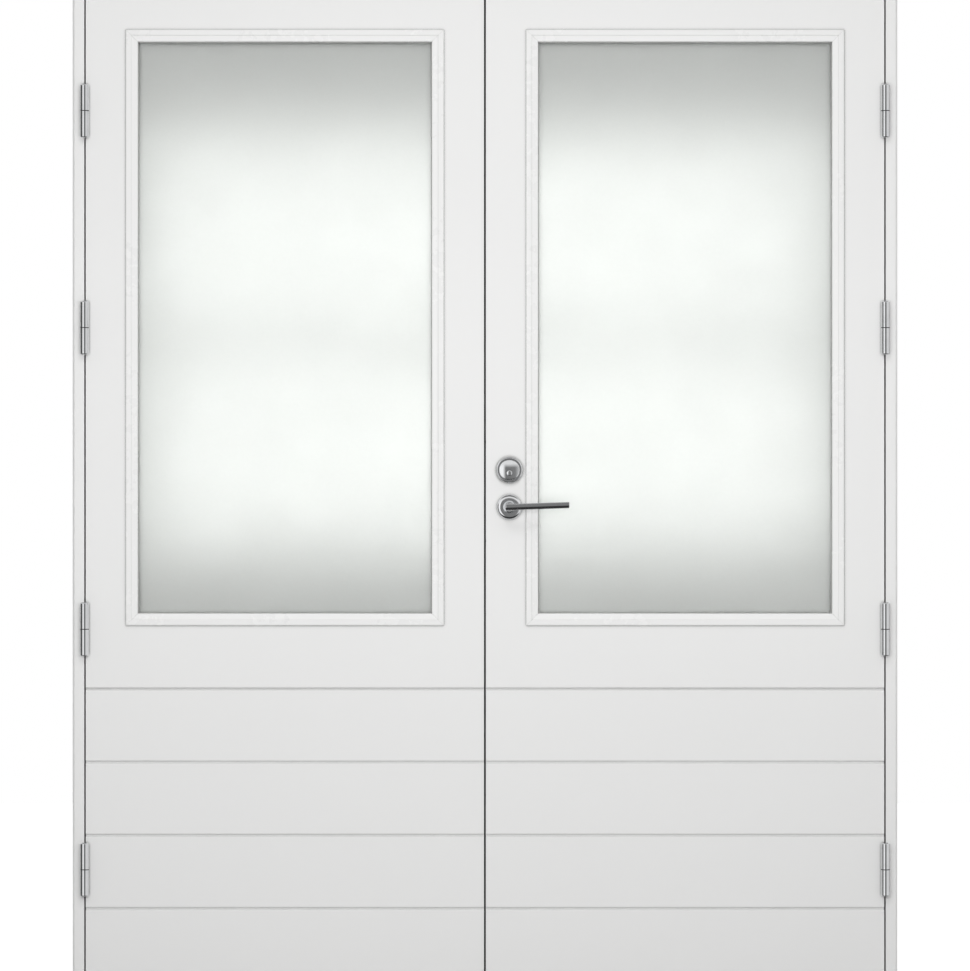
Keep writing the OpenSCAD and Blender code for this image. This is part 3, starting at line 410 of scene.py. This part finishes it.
metalLooks = {
    "polished_hinge": {
        "shader": {"Metallic": 1.0, "Specular IOR Level": 0.5}, "colour": (0.78, 0.79, 0.80, 1),
        "marks": {"Stretch": (1, 1, 0.03), "Roughness": 0.06, "Spread": 0.05, "Smudges": 0.08},
        "dulling": 0.35, "dullColour": (0.62, 0.63, 0.64, 1),
        "rub": {"Radius": 0.0008, "Break Up": 90.0, "Amount": 0.6}, "rubColour": (0.88, 0.88, 0.88, 1),
        "bump": 0.05, "depth": 0.0003,
    },
    "polished_chrome": {
        "shader": {"Metallic": 1.0, "Specular IOR Level": 0.5}, "colour": (0.80, 0.81, 0.82, 1),
        "marks": {"Stretch": (0.03, 1, 1), "Roughness": 0.06, "Spread": 0.05, "Smudges": 0.08},
        "dulling": 0.3, "dullColour": (0.66, 0.67, 0.68, 1),
        "rub": {"Radius": 0.0008, "Break Up": 90.0, "Amount": 0.5}, "rubColour": (0.9, 0.9, 0.9, 1),
        "bump": 0.04, "depth": 0.0003,
    },
    "hinge_screw": {
        "shader": {"Metallic": 1.0}, "colour": (0.62, 0.62, 0.60, 1),
        "marks": {"Stretch": (1, 1, 1), "Roughness": 0.24, "Spread": 0.15, "Smudges": 0.15},
        "dulling": 0.5, "dullColour": (0.42, 0.41, 0.38, 1),
        "rub": {"Radius": 0.0004, "Break Up": 200.0, "Amount": 0.6}, "rubColour": (0.8, 0.8, 0.78, 1),
        "bump": 0.08, "depth": 0.0002,
    },
    "lock_steel": {
        "shader": {"Metallic": 1.0}, "colour": (0.60, 0.60, 0.60, 1),
        "marks": {"Stretch": (1, 1, 0.012), "Roughness": 0.26, "Spread": 0.22, "Smudges": 0.12},
        "dulling": 0.4, "dullColour": (0.46, 0.46, 0.45, 1),
        "rub": {"Radius": 0.0006, "Break Up": 120.0, "Amount": 0.5}, "rubColour": (0.8, 0.8, 0.8, 1),
        "bump": 0.12, "depth": 0.0002,
    },
    "spacer_bar": {
        "shader": {"Metallic": 1.0}, "colour": (0.72, 0.73, 0.74, 1),
        "marks": {"Stretch": (1, 1, 1), "Roughness": 0.32, "Spread": 0.12, "Smudges": 0.1},
        "dulling": 0.3, "dullColour": (0.58, 0.58, 0.58, 1),
        "rub": {"Radius": 0.0006, "Break Up": 120.0, "Amount": 0.2}, "rubColour": (0.8, 0.8, 0.8, 1),
        "bump": 0.08, "depth": 0.0002,
    },
}
glassLooks = {
    "frosted_glass": {
        "shader": {"IOR": 1.46, "Transmission Weight": 1.0},
        "frost": {"Tint": (0.94, 0.95, 0.93, 1), "Patch": 0.13, "Roughness": 0.55},
        "bump": 0.25, "depth": 0.0004,
    },
    "clear_glass": {
        "shader": {"IOR": 1.5, "Transmission Weight": 1.0, "Roughness": 0.0,
                   "Base Color": (0.96, 0.98, 0.97, 1)},
        "ripple": (3.0, 1.0), "bump": 0.04, "depth": 0.002,
    },
}
woodLooks = {
    "oiled_hardwood": {
        "shader": {"IOR": 1.48, "Coat Weight": 0.15, "Coat Roughness": 0.3},
        "grain": {"Light": (0.50, 0.29, 0.14, 1), "Dark": (0.20, 0.09, 0.04, 1)},
        "rub": {"Radius": 0.002, "Break Up": 18.0, "Amount": 0.6}, "rubColour": (0.62, 0.42, 0.24, 1),
        "roughness": 0.42, "poreRoughness": 0.25, "bump": 0.2, "depth": 0.0005,
    },
}

materials = {}
for makeMaterial, looks in ((paintMaterial, paintLooks), (metalMaterial, metalLooks),
                            (glassMaterial, glassLooks), (woodMaterial, woodLooks)):
    for name, look in looks.items():
        materials[name] = makeMaterial(name, look)

for name, node in nodes.items():
    node.data.materials.clear()
    node.data.materials.append(materials[slotOf[name]])
print("materials placed on", len(nodes), "CAD nodes")

# Weld distance in metres, angles in degrees: sharp is where shading breaks, angle where an edge is eased
easing = {"weld": 2e-6, "flatten": 0.2, "segments": 2, "angle": 30, "sharp": 50}
# Rounded arrises, in metres, on the painted and milled pieces
leafEdges = {
    "upper_face": 0.0013, "lower_face": 0.0013, "inner_face": 0.0013, "hinge_stile": 0.0008,
    "meeting_stile": 0.0008, "outer_beads": 0.0005, "inner_beads": 0.0005,
}
otherEdges = {
    "left_jamb": 0.0010, "right_jamb": 0.0010, "head_jamb": 0.0010, "threshold": 0.0014,
    "thumb_turn": 0.0008, "spindle": 0.0004,
}


def makeShadeByAngle():
    group = bpy.data.node_groups.new("shadeByAngle", "GeometryNodeTree")
    group.interface.new_socket("Geometry", in_out="INPUT", socket_type="NodeSocketGeometry")
    group.interface.new_socket("Geometry", in_out="OUTPUT", socket_type="NodeSocketGeometry")
    take, give = group.nodes.new("NodeGroupInput"), group.nodes.new("NodeGroupOutput")
    angle = group.nodes.new("GeometryNodeInputMeshEdgeAngle").outputs["Unsigned Angle"]
    sharp = addNode(group, "FunctionNodeCompare", {"data_type": "FLOAT", "operation": "GREATER_THAN"},
                    {0: angle, 1: math.radians(easing["sharp"])})
    faces = addNode(group, "GeometryNodeSetShadeSmooth", None, {0: take.outputs[0]})
    edges = addNode(group, "GeometryNodeSetShadeSmooth", {"domain": "EDGE"},
                    {0: faces.outputs[0], "Selection": sharp.outputs[0], "Shade Smooth": False})
    group.links.new(edges.outputs[0], give.inputs[0])
    return group


shadeByAngle = makeShadeByAngle()


def shadeCleanly(piece):
    piece.modifiers.new("shade", "NODES").node_group = shadeByAngle


def easeEdges(name, width):
    node = nodes[name]
    normals = node.data.attributes.get("custom_normal")
    if normals:
        node.data.attributes.remove(normals)
    node.modifiers.new("weld", "WELD").merge_threshold = easing["weld"]
    flatten = node.modifiers.new("flatten", "DECIMATE")
    flatten.decimate_type = "DISSOLVE"
    flatten.angle_limit = math.radians(easing["flatten"])
    bevel = node.modifiers.new("ease", "BEVEL")
    bevel.width, bevel.segments = width, easing["segments"]
    bevel.limit_method = "ANGLE"
    bevel.angle_limit = math.radians(easing["angle"])
    shadeCleanly(node)
    node.modifiers.new("weigh", "WEIGHTED_NORMAL").keep_sharp = True


for side in ("left", "right"):
    for name, width in leafEdges.items():
        easeEdges(f"{side}_{name}", width)
for name, width in otherEdges.items():
    easeEdges(name, width)
print("edges eased")


def newObject(name, bm):
    bmesh.ops.recalc_face_normals(bm, faces=bm.faces)
    mesh = bpy.data.meshes.new(name)
    bm.to_mesh(mesh)
    bm.free()
    piece = bpy.data.objects.new(name, mesh)
    scene.collection.objects.link(piece)
    return piece


def finishPiece(name, bm, material, body, replaced=()):
    piece = newObject(name, bm)
    piece.data.materials.append(materials[material])
    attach(piece, body)
    if replaced:
        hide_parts(*replaced)
    shadeCleanly(piece)
    return piece


# Skins sections that follow one another; the last one meets the first, or both ends are capped
def skinSections(bm, sections, closed):
    rings = [[bm.verts.new(point) for point in section] for section in sections]
    for index in range(len(rings) if closed else len(rings) - 1):
        here, there = rings[index], rings[(index + 1) % len(rings)]
        for corner in range(len(here)):
            after = (corner + 1) % len(here)
            bm.faces.new((here[corner], here[after], there[after], there[corner]))
    if not closed:
        bm.faces.new(rings[0])
        bm.faces.new(tuple(reversed(rings[-1])))


# A section (out from the line, y) carried with mitred corners round a box drawn in by an inset
def ringSections(low, high, inset, section):
    x0, x1, z0, z1 = low.x + inset, high.x - inset, low.z + inset, high.z - inset
    corners = ((x0, z0, -1, -1), (x1, z0, 1, -1), (x1, z1, 1, 1), (x0, z1, -1, 1))
    return [[(x + signX * out, y, z + signZ * out) for out, y in section] for x, z, signX, signZ in corners]


# Cosine and sine of equal steps round a circle
def circleSteps(count):
    angles = [math.tau * step / count for step in range(count)]
    return [(math.cos(angle), math.sin(angle)) for angle in angles]


# Circle round the Y direction, its radius in millimetres
def circlePoints(centreX, y, centreZ, radius, count):
    return [(centreX + radius * cosine * millimetre, y, centreZ + radius * sine * millimetre)
            for cosine, sine in circleSteps(count)]


# All in millimetres; rows are the depths below the bulb where the barbs start, peak and end, and of the foot
frameSealLook = {
    "halfWidth": 4.0, "bulb": 3.6, "bulbPoints": 12, "stem": 1.4, "barb": 1.95, "clearance": 0.1,
    "rows": (3.1, 3.7, 4.1, 5.9),
}


# Bulb seal pressed into the groove of the stop
def makeFrameSeal():
    look = frameSealLook
    low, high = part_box("frame_seal")
    half, gap = look["halfWidth"] * millimetre, look["clearance"] * millimetre
    seat = low.y + (look["bulb"] + look["clearance"]) * millimetre
    stem, barb = look["stem"] * millimetre, look["barb"] * millimetre
    start, peak, stop, foot = (seat + row * millimetre for row in look["rows"])
    bulb = []
    for step in range(look["bulbPoints"] + 1):
        angle = math.pi * step / look["bulbPoints"]
        bulb.append((-(half - gap) * math.cos(angle), seat - look["bulb"] * millimetre * math.sin(angle)))
    left = [(-stem, foot), (-stem, stop), (-barb, peak), (-stem, start), (-stem, seat)]
    section = left + bulb + [(-out, y) for out, y in reversed(left)]
    bm = bmesh.new()
    skinSections(bm, ringSections(low, high, half, section), True)
    finishPiece("bulbSeal", bm, "black_rubber", "frame", ["frame_seal"])


# Section of the lip seal in millimetres: out from the leaf's edge, and back from the seal's middle
lipSealSection = (
    (-5.85, -1.0), (-5.85, 1.0), (-3.95, 1.0), (-3.45, 1.8), (-2.95, 1.0), (0.0, 1.0), (0.0, 2.9),
    (0.6, 2.9), (0.6, 1.0), (1.45, 1.1), (2.45, 0.7), (3.25, -0.3), (3.75, -1.8), (3.8, -2.9), (3.4, -3.0),
    (3.2, -2.0), (2.75, -0.9), (2.05, -0.1), (1.25, 0.2), (0.6, 0.1), (0.6, -2.9), (0.0, -2.9), (0.0, -1.0),
    (-2.95, -1.0), (-3.45, -1.8), (-3.95, -1.0),
)


# Wiper lip between the leaves, its foot pressed into the left leaf's edge
def makeMeetingSeal():
    low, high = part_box("meeting_seal")
    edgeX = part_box("left_upper_face")[1].x
    middleY = (low.y + high.y) / 2
    section = [(edgeX + out * millimetre, middleY + back * millimetre) for out, back in lipSealSection]
    bm = bmesh.new()
    skinSections(bm, [[(x, y, z) for x, y in section] for z in (low.z, high.z)], False)
    finishPiece("meetingLipSeal", bm, "black_rubber", "left_leaf", ["meeting_seal"])


# In millimetres; a section point is in from the bead and off the glass
gasketLook = {
    "beadWidth": 25.0,
    "section": ((0.02, 0.02), (1.05, 0.02), (1.2, 0.35), (0.95, 0.9), (0.45, 1.5), (0.02, 1.6)),
}


# Silicone fillet where a bead meets the glass, its grey partly a painted shade line along the glass's edge
def makeGlassGasket(side, face):
    low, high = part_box(f"{side}_{face}_beads")
    paneLow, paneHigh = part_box(f"{side}_{face}_pane")
    width = gasketLook["beadWidth"] * millimetre
    glassY, away = (paneLow.y, -1) if face == "outer" else (paneHigh.y, 1)
    section = [(-inward * millimetre, glassY + away * off * millimetre)
               for inward, off in gasketLook["section"]]
    bm = bmesh.new()
    skinSections(bm, ringSections(low, high, width, section), True)
    finishPiece(f"{side}_{face}_glassGasketShadeLine", bm, "pale_silicone", f"{side}_leaf")


# Middles of the hinges above the floor
hingeHeights = tuple(height * millimetre for height in (261, 753, 1370, 1814))
# In millimetres; rings are (depth, radius) from the head inwards, rimStart is in degrees
hingeScrewLook = {
    "length": 20.0, "headRings": ((0.12, 3.8), (0.25, 3.95), (2.2, 2.0)), "shank": 1.95, "tip": (19.9, 0.4),
    "threadStart": 3.2, "threadStep": 0.8, "threadRows": 20, "threadDepth": 0.35,
    "pitch": 38.0, "frontToScrew": 20.0, "recess": 1.5, "armLength": 1.9, "armHalf": 0.42, "rimStart": -20,
}
plateScrewLook = {
    "rings": ((-0.3, 2.5), (-0.24, 2.95), (-0.05, 3.2), (0.4, 3.2)), "inset": 6.0, "flushPlate": 160.0,
    "recess": 0.25, "armLength": 1.5, "armHalf": 0.33, "rimStart": -20,
}


# Outline of a cross recess, in twelve points
def crossOutline(look):
    arm, half = look["armLength"], look["armHalf"]
    outline = []
    for cosine, sine in ((1, 0), (0, 1), (-1, 0), (0, -1)):
        for along, across in ((arm, -half), (arm, half), (half, half)):
            outline.append((cosine * along - sine * across, sine * along + cosine * across))
    return outline


# One turned body of rings (depth, radius), with two rim points to each point of its recess's outline
def addTurned(bm, place, rings, outline, rimStart, recess, narrowing=0.75):
    count = len(outline)
    angles = [math.radians(180 / count * step + rimStart) for step in range(2 * count)]
    loops = [[bm.verts.new(place(depth, radius * math.cos(angle), radius * math.sin(angle)))
              for angle in angles] for depth, radius in rings]
    for here, there in zip(loops, loops[1:]):
        for step in range(2 * count):
            after = (step + 1) % (2 * count)
            bm.faces.new((here[step], here[after], there[after], there[step]))
    bm.faces.new(tuple(reversed(loops[-1])))
    rim, depth = loops[0], rings[0][0]
    top = [bm.verts.new(place(depth, a, b)) for a, b in outline]
    floor = [bm.verts.new(place(depth + recess, a * narrowing, b * narrowing)) for a, b in outline]
    for step in range(count):
        after = (step + 1) % count
        bm.faces.new((top[step], rim[2 * step], rim[2 * step + 1], rim[2 * after], top[after]))
        bm.faces.new((top[step], top[after], floor[after], floor[step]))
    bm.faces.new(tuple(reversed(floor)))


def addScrew(bm, centre, inward, rings, look):
    def place(depth, a, b):
        x, y, z = centre
        return (x + inward * depth * millimetre, y + a * millimetre, z + b * millimetre)

    addTurned(bm, place, rings, crossOutline(look), look["rimStart"], look["recess"])


def makeHingeScrews(node, pieceName, body, sides, inFrame):
    look = hingeScrewLook
    low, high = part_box(node)
    reach = high.x if high.x > 0 else -low.x
    headX = reach - look["length"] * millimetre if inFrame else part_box("right_upper_face")[1].x
    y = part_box("left_jamb")[0].y + look["frontToScrew"] * millimetre
    rings = list(look["headRings"])
    for row in range(look["threadRows"]):
        rings.append((look["threadStart"] + look["threadStep"] * row,
                      look["shank"] - (look["threadDepth"] if row % 2 else 0.0)))
    rings.append(look["tip"])
    bm = bmesh.new()
    for sign in sides:
        for hingeZ in hingeHeights:
            for step in (-1, 0, 1):
                centre = (sign * headX, y, hingeZ + step * look["pitch"] * millimetre)
                addScrew(bm, centre, sign if inFrame else -sign, rings, look)
    finishPiece(pieceName, bm, "hinge_screw", body, [node])


# Raised screw heads on the plates of the lock and of the flush bolts
def makePlateScrews(pieceName, body, faceX, inward, y, heights):
    bm = bmesh.new()
    for z in heights:
        addScrew(bm, (faceX, y, z), inward, plateScrewLook["rings"], plateScrewLook)
    finishPiece(pieceName, bm, "hinge_screw", body)


makeFrameSeal()
makeMeetingSeal()
for side in ("left", "right"):
    for face in ("outer", "inner"):
        makeGlassGasket(side, face)
makeHingeScrews("frame_hinge_screws", "frameHingeScrews", "frame", (-1, 1), True)
makeHingeScrews("left_hinge_screws", "leftHingeScrews", "left_leaf", (-1,), False)
makeHingeScrews("right_hinge_screws", "rightHingeScrews", "right_leaf", (1,), False)
inset, plateHeight = plateScrewLook["inset"] * millimetre, plateScrewLook["flushPlate"] * millimetre
caseLow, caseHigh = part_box("lock_case")
strikeLow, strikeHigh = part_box("strike_plate")
flushLow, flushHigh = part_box("flush_plates")
plateY = (caseLow.y + caseHigh.y) / 2
makePlateScrews("forendScrews", "right_leaf", caseLow.x, 1, plateY,
                (caseLow.z + inset, caseHigh.z - inset))
makePlateScrews("strikeScrews", "left_leaf", strikeHigh.x, -1, plateY,
                (strikeLow.z + inset, strikeHigh.z - inset))
makePlateScrews("flushPlateScrews", "left_leaf", flushHigh.x, -1, plateY, (
    flushLow.z + inset, flushLow.z + plateHeight - inset,
    flushHigh.z - plateHeight + inset, flushHigh.z - inset))
print("seals, gaskets and screws made")

hubLow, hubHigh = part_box("hub")
hubX, handleZ = (hubLow.x + hubHigh.x) / 2, (hubLow.z + hubHigh.z) / 2
outerFaceY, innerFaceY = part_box("left_upper_face")[0].y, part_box("left_inner_face")[1].y

# Lever bar in millimetres: its section is (out from its back, up from its middle), its stations are
# (along it, scale), its neck is (out from the face, radius), and rise is in degrees
leverLook = {
    "section": ((0.0, -5.4), (0.0, 5.4), (0.8, 6.2), (2.0, 6.5), (7.4, 6.5), (8.4, 6.2), (9.0, 5.4),
                (9.0, -0.6), (8.7, -1.4), (4.9, -6.0), (3.9, -6.5), (2.0, -6.5), (0.8, -6.2)),
    "stations": ((-8.0, 0.86), (-7.6, 0.95), (-6.8, 0.995), (-4.0, 1.0), (20.0, 0.99), (60.0, 0.97),
                 (100.0, 0.955), (120.6, 0.95), (121.5, 0.91), (121.9, 0.83)),
    "reach": 45.0, "middleOut": 4.5, "rise": 2.0,
    "neck": ((0.1, 8.95), (30.0, 8.95), (42.8, 8.6), (44.4, 7.6), (45.2, 6.0)), "neckPoints": 48,
}


def makeLever(pieceName, node, faceAt, away):
    look = leverLook
    slope = math.tan(math.radians(look["rise"]))
    middle = look["middleOut"]
    sections = []
    for along, scale in look["stations"]:
        section = []
        for out, up in look["section"]:
            fromFace = look["reach"] + middle + (out - middle) * scale
            section.append((hubX + along * millimetre, faceAt + away * fromFace * millimetre,
                            handleZ + (along * slope + up * scale) * millimetre))
        sections.append(section)
    bm = bmesh.new()
    skinSections(bm, sections, False)
    rings = []
    for out, radius in look["neck"]:
        y = faceAt + away * out * millimetre
        rings.append(circlePoints(hubX, y, handleZ, radius, look["neckPoints"]))
    skinSections(bm, rings, False)
    piece = finishPiece(pieceName, bm, "polished_chrome", "lever", [node])
    piece.modifiers.new("weigh", "WEIGHTED_NORMAL").keep_sharp = True


# Round roses with a soft edge: (out from the leaf's face, radius) in millimetres, the bore left open
roseLook = {
    "edge": ((8.95, 15.0), (8.85, 18.5), (8.4, 20.8), (7.6, 22.7), (6.4, 24.2), (4.9, 25.3), (3.2, 25.9),
             (1.4, 26.0), (0.4, 25.9), (0.05, 25.6)),
    "bore": ((0.05, 9.35), (8.6, 9.35), (8.95, 9.7)), "points": 96,
}


def makeLeverRoses():
    profile = roseLook["bore"] + roseLook["edge"]
    bm = bmesh.new()
    for faceAt, away in ((outerFaceY, -1), (innerFaceY, 1)):
        sections = []
        for cosine, sine in circleSteps(roseLook["points"]):
            sections.append([(hubX + radius * cosine * millimetre, faceAt + away * out * millimetre,
                              handleZ + radius * sine * millimetre) for out, radius in profile])
        skinSections(bm, sections, True)
    finishPiece("leverRoses", bm, "polished_chrome", "right_leaf", ["handle_roses"])


# Domed cylinder and its key plug, in millimetres out from the leaf's face; rimStart is in degrees
cylinderLook = {
    "backOut": -22.9, "barrel": 13.9, "seatOut": 0.05, "disc": 21.1, "discOut": 9.3, "points": 96,
    "domeRadius": 20.6, "domeOut": 9.7, "curve": 70.0,
    "domeSteps": (20.6, 19.4, 17.0, 14.0, 11.0, 8.0, 5.0, 2.5, 0.8),
    "plugHole": 6.15, "holePoints": 48, "holeSpan": (-40, 30),
    "plug": 5.8, "plugSink": 0.5, "plugChamfer": 0.75, "chamferDepth": 0.6,
    "keyDepth": 6.0, "keyNarrowing": 0.95, "rimStart": -30,
    "keyway": ((0.8, -1.2), (0.8, 0.6), (0.4, 2.0), (0.8, 3.7), (0.0, 3.9), (-0.8, 3.7), (-0.8, 1.6),
               (-0.35, -0.4), (-0.8, -2.0), (-0.8, -3.7), (0.0, -3.9), (0.8, -3.7)),
}


def domeHeight(radius):
    look = cylinderLook
    return look["domeOut"] + (look["domeRadius"] ** 2 - radius ** 2) / (2 * look["curve"])


# Cuts the skinned sections out of a piece for good
def boreThrough(piece, sections):
    bm = bmesh.new()
    skinSections(bm, sections, False)
    cutter = newObject("boreCutter", bm)
    bore = piece.modifiers.new("bore", "BOOLEAN")
    bore.operation, bore.solver, bore.object = "DIFFERENCE", "EXACT", cutter
    piece.modifiers.remove(piece.modifiers["shade"])
    bored = bpy.data.meshes.new_from_object(piece.evaluated_get(bpy.context.evaluated_depsgraph_get()))
    piece.modifiers.clear()
    piece.data = bored
    bpy.data.objects.remove(cutter)
    shadeCleanly(piece)


def makeCylinder():
    look = cylinderLook
    low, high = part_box("cylinder_ring")
    plugLow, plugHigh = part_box("plug")
    faceAt, centreZ, plugZ = high.y, (low.z + high.z) / 2, (plugLow.z + plugHigh.z) / 2

    def circle(out, radius, middleZ, count):
        return circlePoints(hubX, faceAt - out * millimetre, middleZ, radius, count)

    profile = [(look["backOut"], look["barrel"]), (look["seatOut"], look["barrel"]),
               (look["seatOut"], look["disc"]), (look["discOut"], look["disc"])]
    profile += [(domeHeight(radius), radius) for radius in look["domeSteps"]]
    bm = bmesh.new()
    skinSections(bm, [circle(out, radius, centreZ, look["points"]) for out, radius in profile], False)
    chrome = "polished_chrome"
    piece = finishPiece("domedCylinder", bm, chrome, "right_leaf", ["cylinder"])
    boreThrough(piece, [circle(out, look["plugHole"], plugZ, look["holePoints"]) for out in look["holeSpan"]])

    def place(depth, a, b):
        return (hubX + a * millimetre, faceAt + depth * millimetre, plugZ + b * millimetre)

    front = domeHeight(centreZ / millimetre - plugZ / millimetre) - look["plugSink"]
    rings = [(-front, look["plug"] - look["plugChamfer"]), (look["chamferDepth"] - front, look["plug"]),
             (-look["backOut"], look["plug"])]
    bm = bmesh.new()
    addTurned(bm, place, rings, look["keyway"], look["rimStart"], look["keyDepth"], look["keyNarrowing"])
    finishPiece("keyPlug", bm, chrome, "plug", ["plug"])


# Black nylon bands round the splits of the hinges, in millimetres
bushLook = {
    "pin": 5.0, "inner": 8.83, "outer": 8.98, "chamfer": 0.05, "height": 1.7, "edge": 0.25, "points": 64,
}


def makeHingeBushes():
    look = bushLook
    low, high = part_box("hinge_pins")
    pin = look["pin"] * millimetre
    half, edge = look["height"] / 2, look["edge"]
    inner, outer, rim = look["inner"], look["outer"], look["outer"] - look["chamfer"]
    profile = ((inner, -half), (rim, -half), (outer, edge - half),
               (outer, half - edge), (rim, half), (inner, half))
    bm = bmesh.new()
    for centreX in (low.x + pin, high.x - pin):
        for z in hingeHeights:
            sections = []
            for cosine, sine in circleSteps(look["points"]):
                sections.append([(centreX + cosine * out * millimetre, low.y + pin + sine * out * millimetre,
                                  z + up * millimetre) for out, up in profile])
            skinSections(bm, sections, True)
    finishPiece("hingeBushes", bm, "black_rubber", "frame")


makeLever("outerLever", "outer_lever", outerFaceY, -1)
makeLever("innerLever", "inner_lever", innerFaceY, 1)
makeLeverRoses()
makeCylinder()
makeHingeBushes()
print("levers, cylinder and hinge bands made")

floorLook = {
    "size": 12.0, "colour": (0.62, 0.62, 0.62, 1), "fleck": (0.58, 0.58, 0.58, 1), "roughness": 0.7,
    "noise": (1.5, 3.0), "fleckAmount": 0.05, "lift": 0.75,
}


def makeFloor():
    look = floorLook
    half = look["size"] / 2
    mesh = bpy.data.meshes.new("studioFloor")
    corners = [(-half, -half, 0), (half, -half, 0), (half, half, 0), (-half, half, 0)]
    mesh.from_pydata(corners, [], [(0, 1, 2, 3)])
    floor = bpy.data.objects.new("studioFloor", mesh)
    scene.collection.objects.link(floor)
    material, tree, principled = newMaterial("studioFloor", {
        "Roughness": look["roughness"], "Emission Color": (1, 1, 1, 1)})
    tone = times(tree, noiseField(tree, objectPoint(tree), *look["noise"]), look["fleckAmount"])
    tree.links.new(blendColors(tree, tone, look["colour"], look["fleck"]), principled.inputs["Base Color"])
    cameraOnly = tree.nodes.new("ShaderNodeLightPath").outputs["Is Camera Ray"]
    tree.links.new(times(tree, cameraOnly, look["lift"]), principled.inputs["Emission Strength"])
    mesh.materials.append(material)
    floor.visible_glossy = False


# Seen and light are the brightness for the camera and for the piece. The rest are screens that only
# reflections see: round is (degrees to the right of the front, brightness), and the others are
# (height where it starts, height where it is full, brightness)
studioLook = {
    "seen": 1.0, "light": 0.54,
    "round": ((-180, 0.14), (-60, 0.10), (-50, 1.1), (-21, 1.1), (-13, 0.2),
              (20, 0.24), (38, 0.8), (104, 0.75), (118, 0.3), (180, 0.25)),
    "above": (0.15, 0.35, 0.9), "overhead": (0.55, 0.8, 0.15), "below": (-0.42, -0.62, 0.04),
}


def makeScreens(tree):
    point = tree.nodes.new("ShaderNodeTexCoord").outputs["Generated"]
    x, y, z = addNode(tree, "ShaderNodeSeparateXYZ", None, {0: point}).outputs
    bearing = mathNode(tree, "ARCTAN2", x, times(tree, y, -1.0))
    ramp = tree.nodes.new("ShaderNodeValToRGB")
    stops = ramp.color_ramp.elements
    stops.remove(stops[1])
    for index, (degrees, bright) in enumerate(studioLook["round"]):
        place = 0.5 + degrees / 360
        stop = stops.new(place) if index else stops[0]
        stop.position = place
        stop.color = (bright, bright, bright, 1)
    tree.links.new(span(tree, bearing, -math.pi, math.pi), ramp.inputs[0])
    colour = ramp.outputs[0]
    for band in ("above", "overhead", "below"):
        start, full, bright = studioLook[band]
        colour = blendColors(tree, span(tree, z, start, full), colour, (bright, bright, bright, 1))
    return colour


def makeWorld():
    world = bpy.data.worlds.new("studio")
    scene.world = world
    world.use_nodes = True
    tree = world.node_tree
    background = tree.nodes["Background"]
    background.inputs["Color"].default_value = (1, 1, 1, 1)
    background.inputs["Strength"].default_value = studioLook["light"]
    white = {"Color": (1, 1, 1, 1), "Strength": studioLook["seen"]}
    seen = addNode(tree, "ShaderNodeBackground", None, white)
    mirrored = addNode(tree, "ShaderNodeBackground", None, {"Color": makeScreens(tree), "Strength": 1.0})
    rays = tree.nodes.new("ShaderNodeLightPath").outputs
    reflection = times(tree, rays["Is Glossy Ray"], minus(tree, 1.0, rays["Is Transmission Ray"]))
    mixed = background.outputs[0]
    for ray, shader in ((reflection, mirrored), (rays["Is Camera Ray"], seen)):
        inputs = {0: ray, 1: mixed, 2: shader.outputs[0]}
        mixed = addNode(tree, "ShaderNodeMixShader", None, inputs).outputs[0]
    tree.links.new(mixed, tree.nodes["World Output"].inputs["Surface"])


# Soft boxes: sizes in metres, powers in watts, spreads in degrees
studioLamps = {
    "keyBox": {"place": (0, -2.6, 3.3), "target": (0, 0, 1.3), "size": (1.6, 0.8), "power": 21,
               "spread": 180, "mirrored": False},
    "fillBox": {"place": (0, -2.8, 1.2), "target": (0, 0, 1.2), "size": (3.4, 1.0), "power": 38,
                "spread": 180, "mirrored": False},
    "backUpper": {"place": (0, 0.55, 1.60), "target": (0, 0, 1.60), "size": (1.5, 0.44), "power": 0.48,
                  "spread": 95, "mirrored": True},
    "backLower": {"place": (0, 0.55, 1.12), "target": (0, 0, 1.12), "size": (1.5, 0.44), "power": 0.48,
                  "spread": 95, "mirrored": True},
}


def makeSoftBox(name, look):
    data = bpy.data.lights.new(name, "AREA")
    data.shape = "RECTANGLE"
    data.size, data.size_y = look["size"]
    data.energy = look["power"]
    data.spread = math.radians(look["spread"])
    lamp = bpy.data.objects.new(name, data)
    scene.collection.objects.link(lamp)
    lamp.location = look["place"]
    aim = Vector(look["target"]) - Vector(look["place"])
    lamp.rotation_euler = aim.to_track_quat("-Z", "Y").to_euler()
    lamp.visible_camera = False
    lamp.visible_glossy = look["mirrored"]


# Metres, except the width seen at the frame's face and the sensor, in millimetres
view = {"distance": 10.0, "height": 1.04706, "across": 2.0485 * 971, "sensor": 36, "clipEnd": 100}


def makeCamera():
    camera = bpy.data.objects.new("camera", bpy.data.cameras.new("camera"))
    scene.collection.objects.link(camera)
    camera.location = (0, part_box("left_jamb")[0].y - view["distance"], view["height"])
    camera.rotation_euler = (math.radians(90), 0, 0)
    camera.data.sensor_width = view["sensor"]
    camera.data.lens = view["sensor"] * view["distance"] / (view["across"] * millimetre)
    camera.data.clip_end = view["clipEnd"]
    scene.camera = camera


makeFloor()
makeWorld()
for name, look in studioLamps.items():
    makeSoftBox(name, look)
makeCamera()
scene.view_settings.view_transform = "Standard"
print("studio and camera ready")
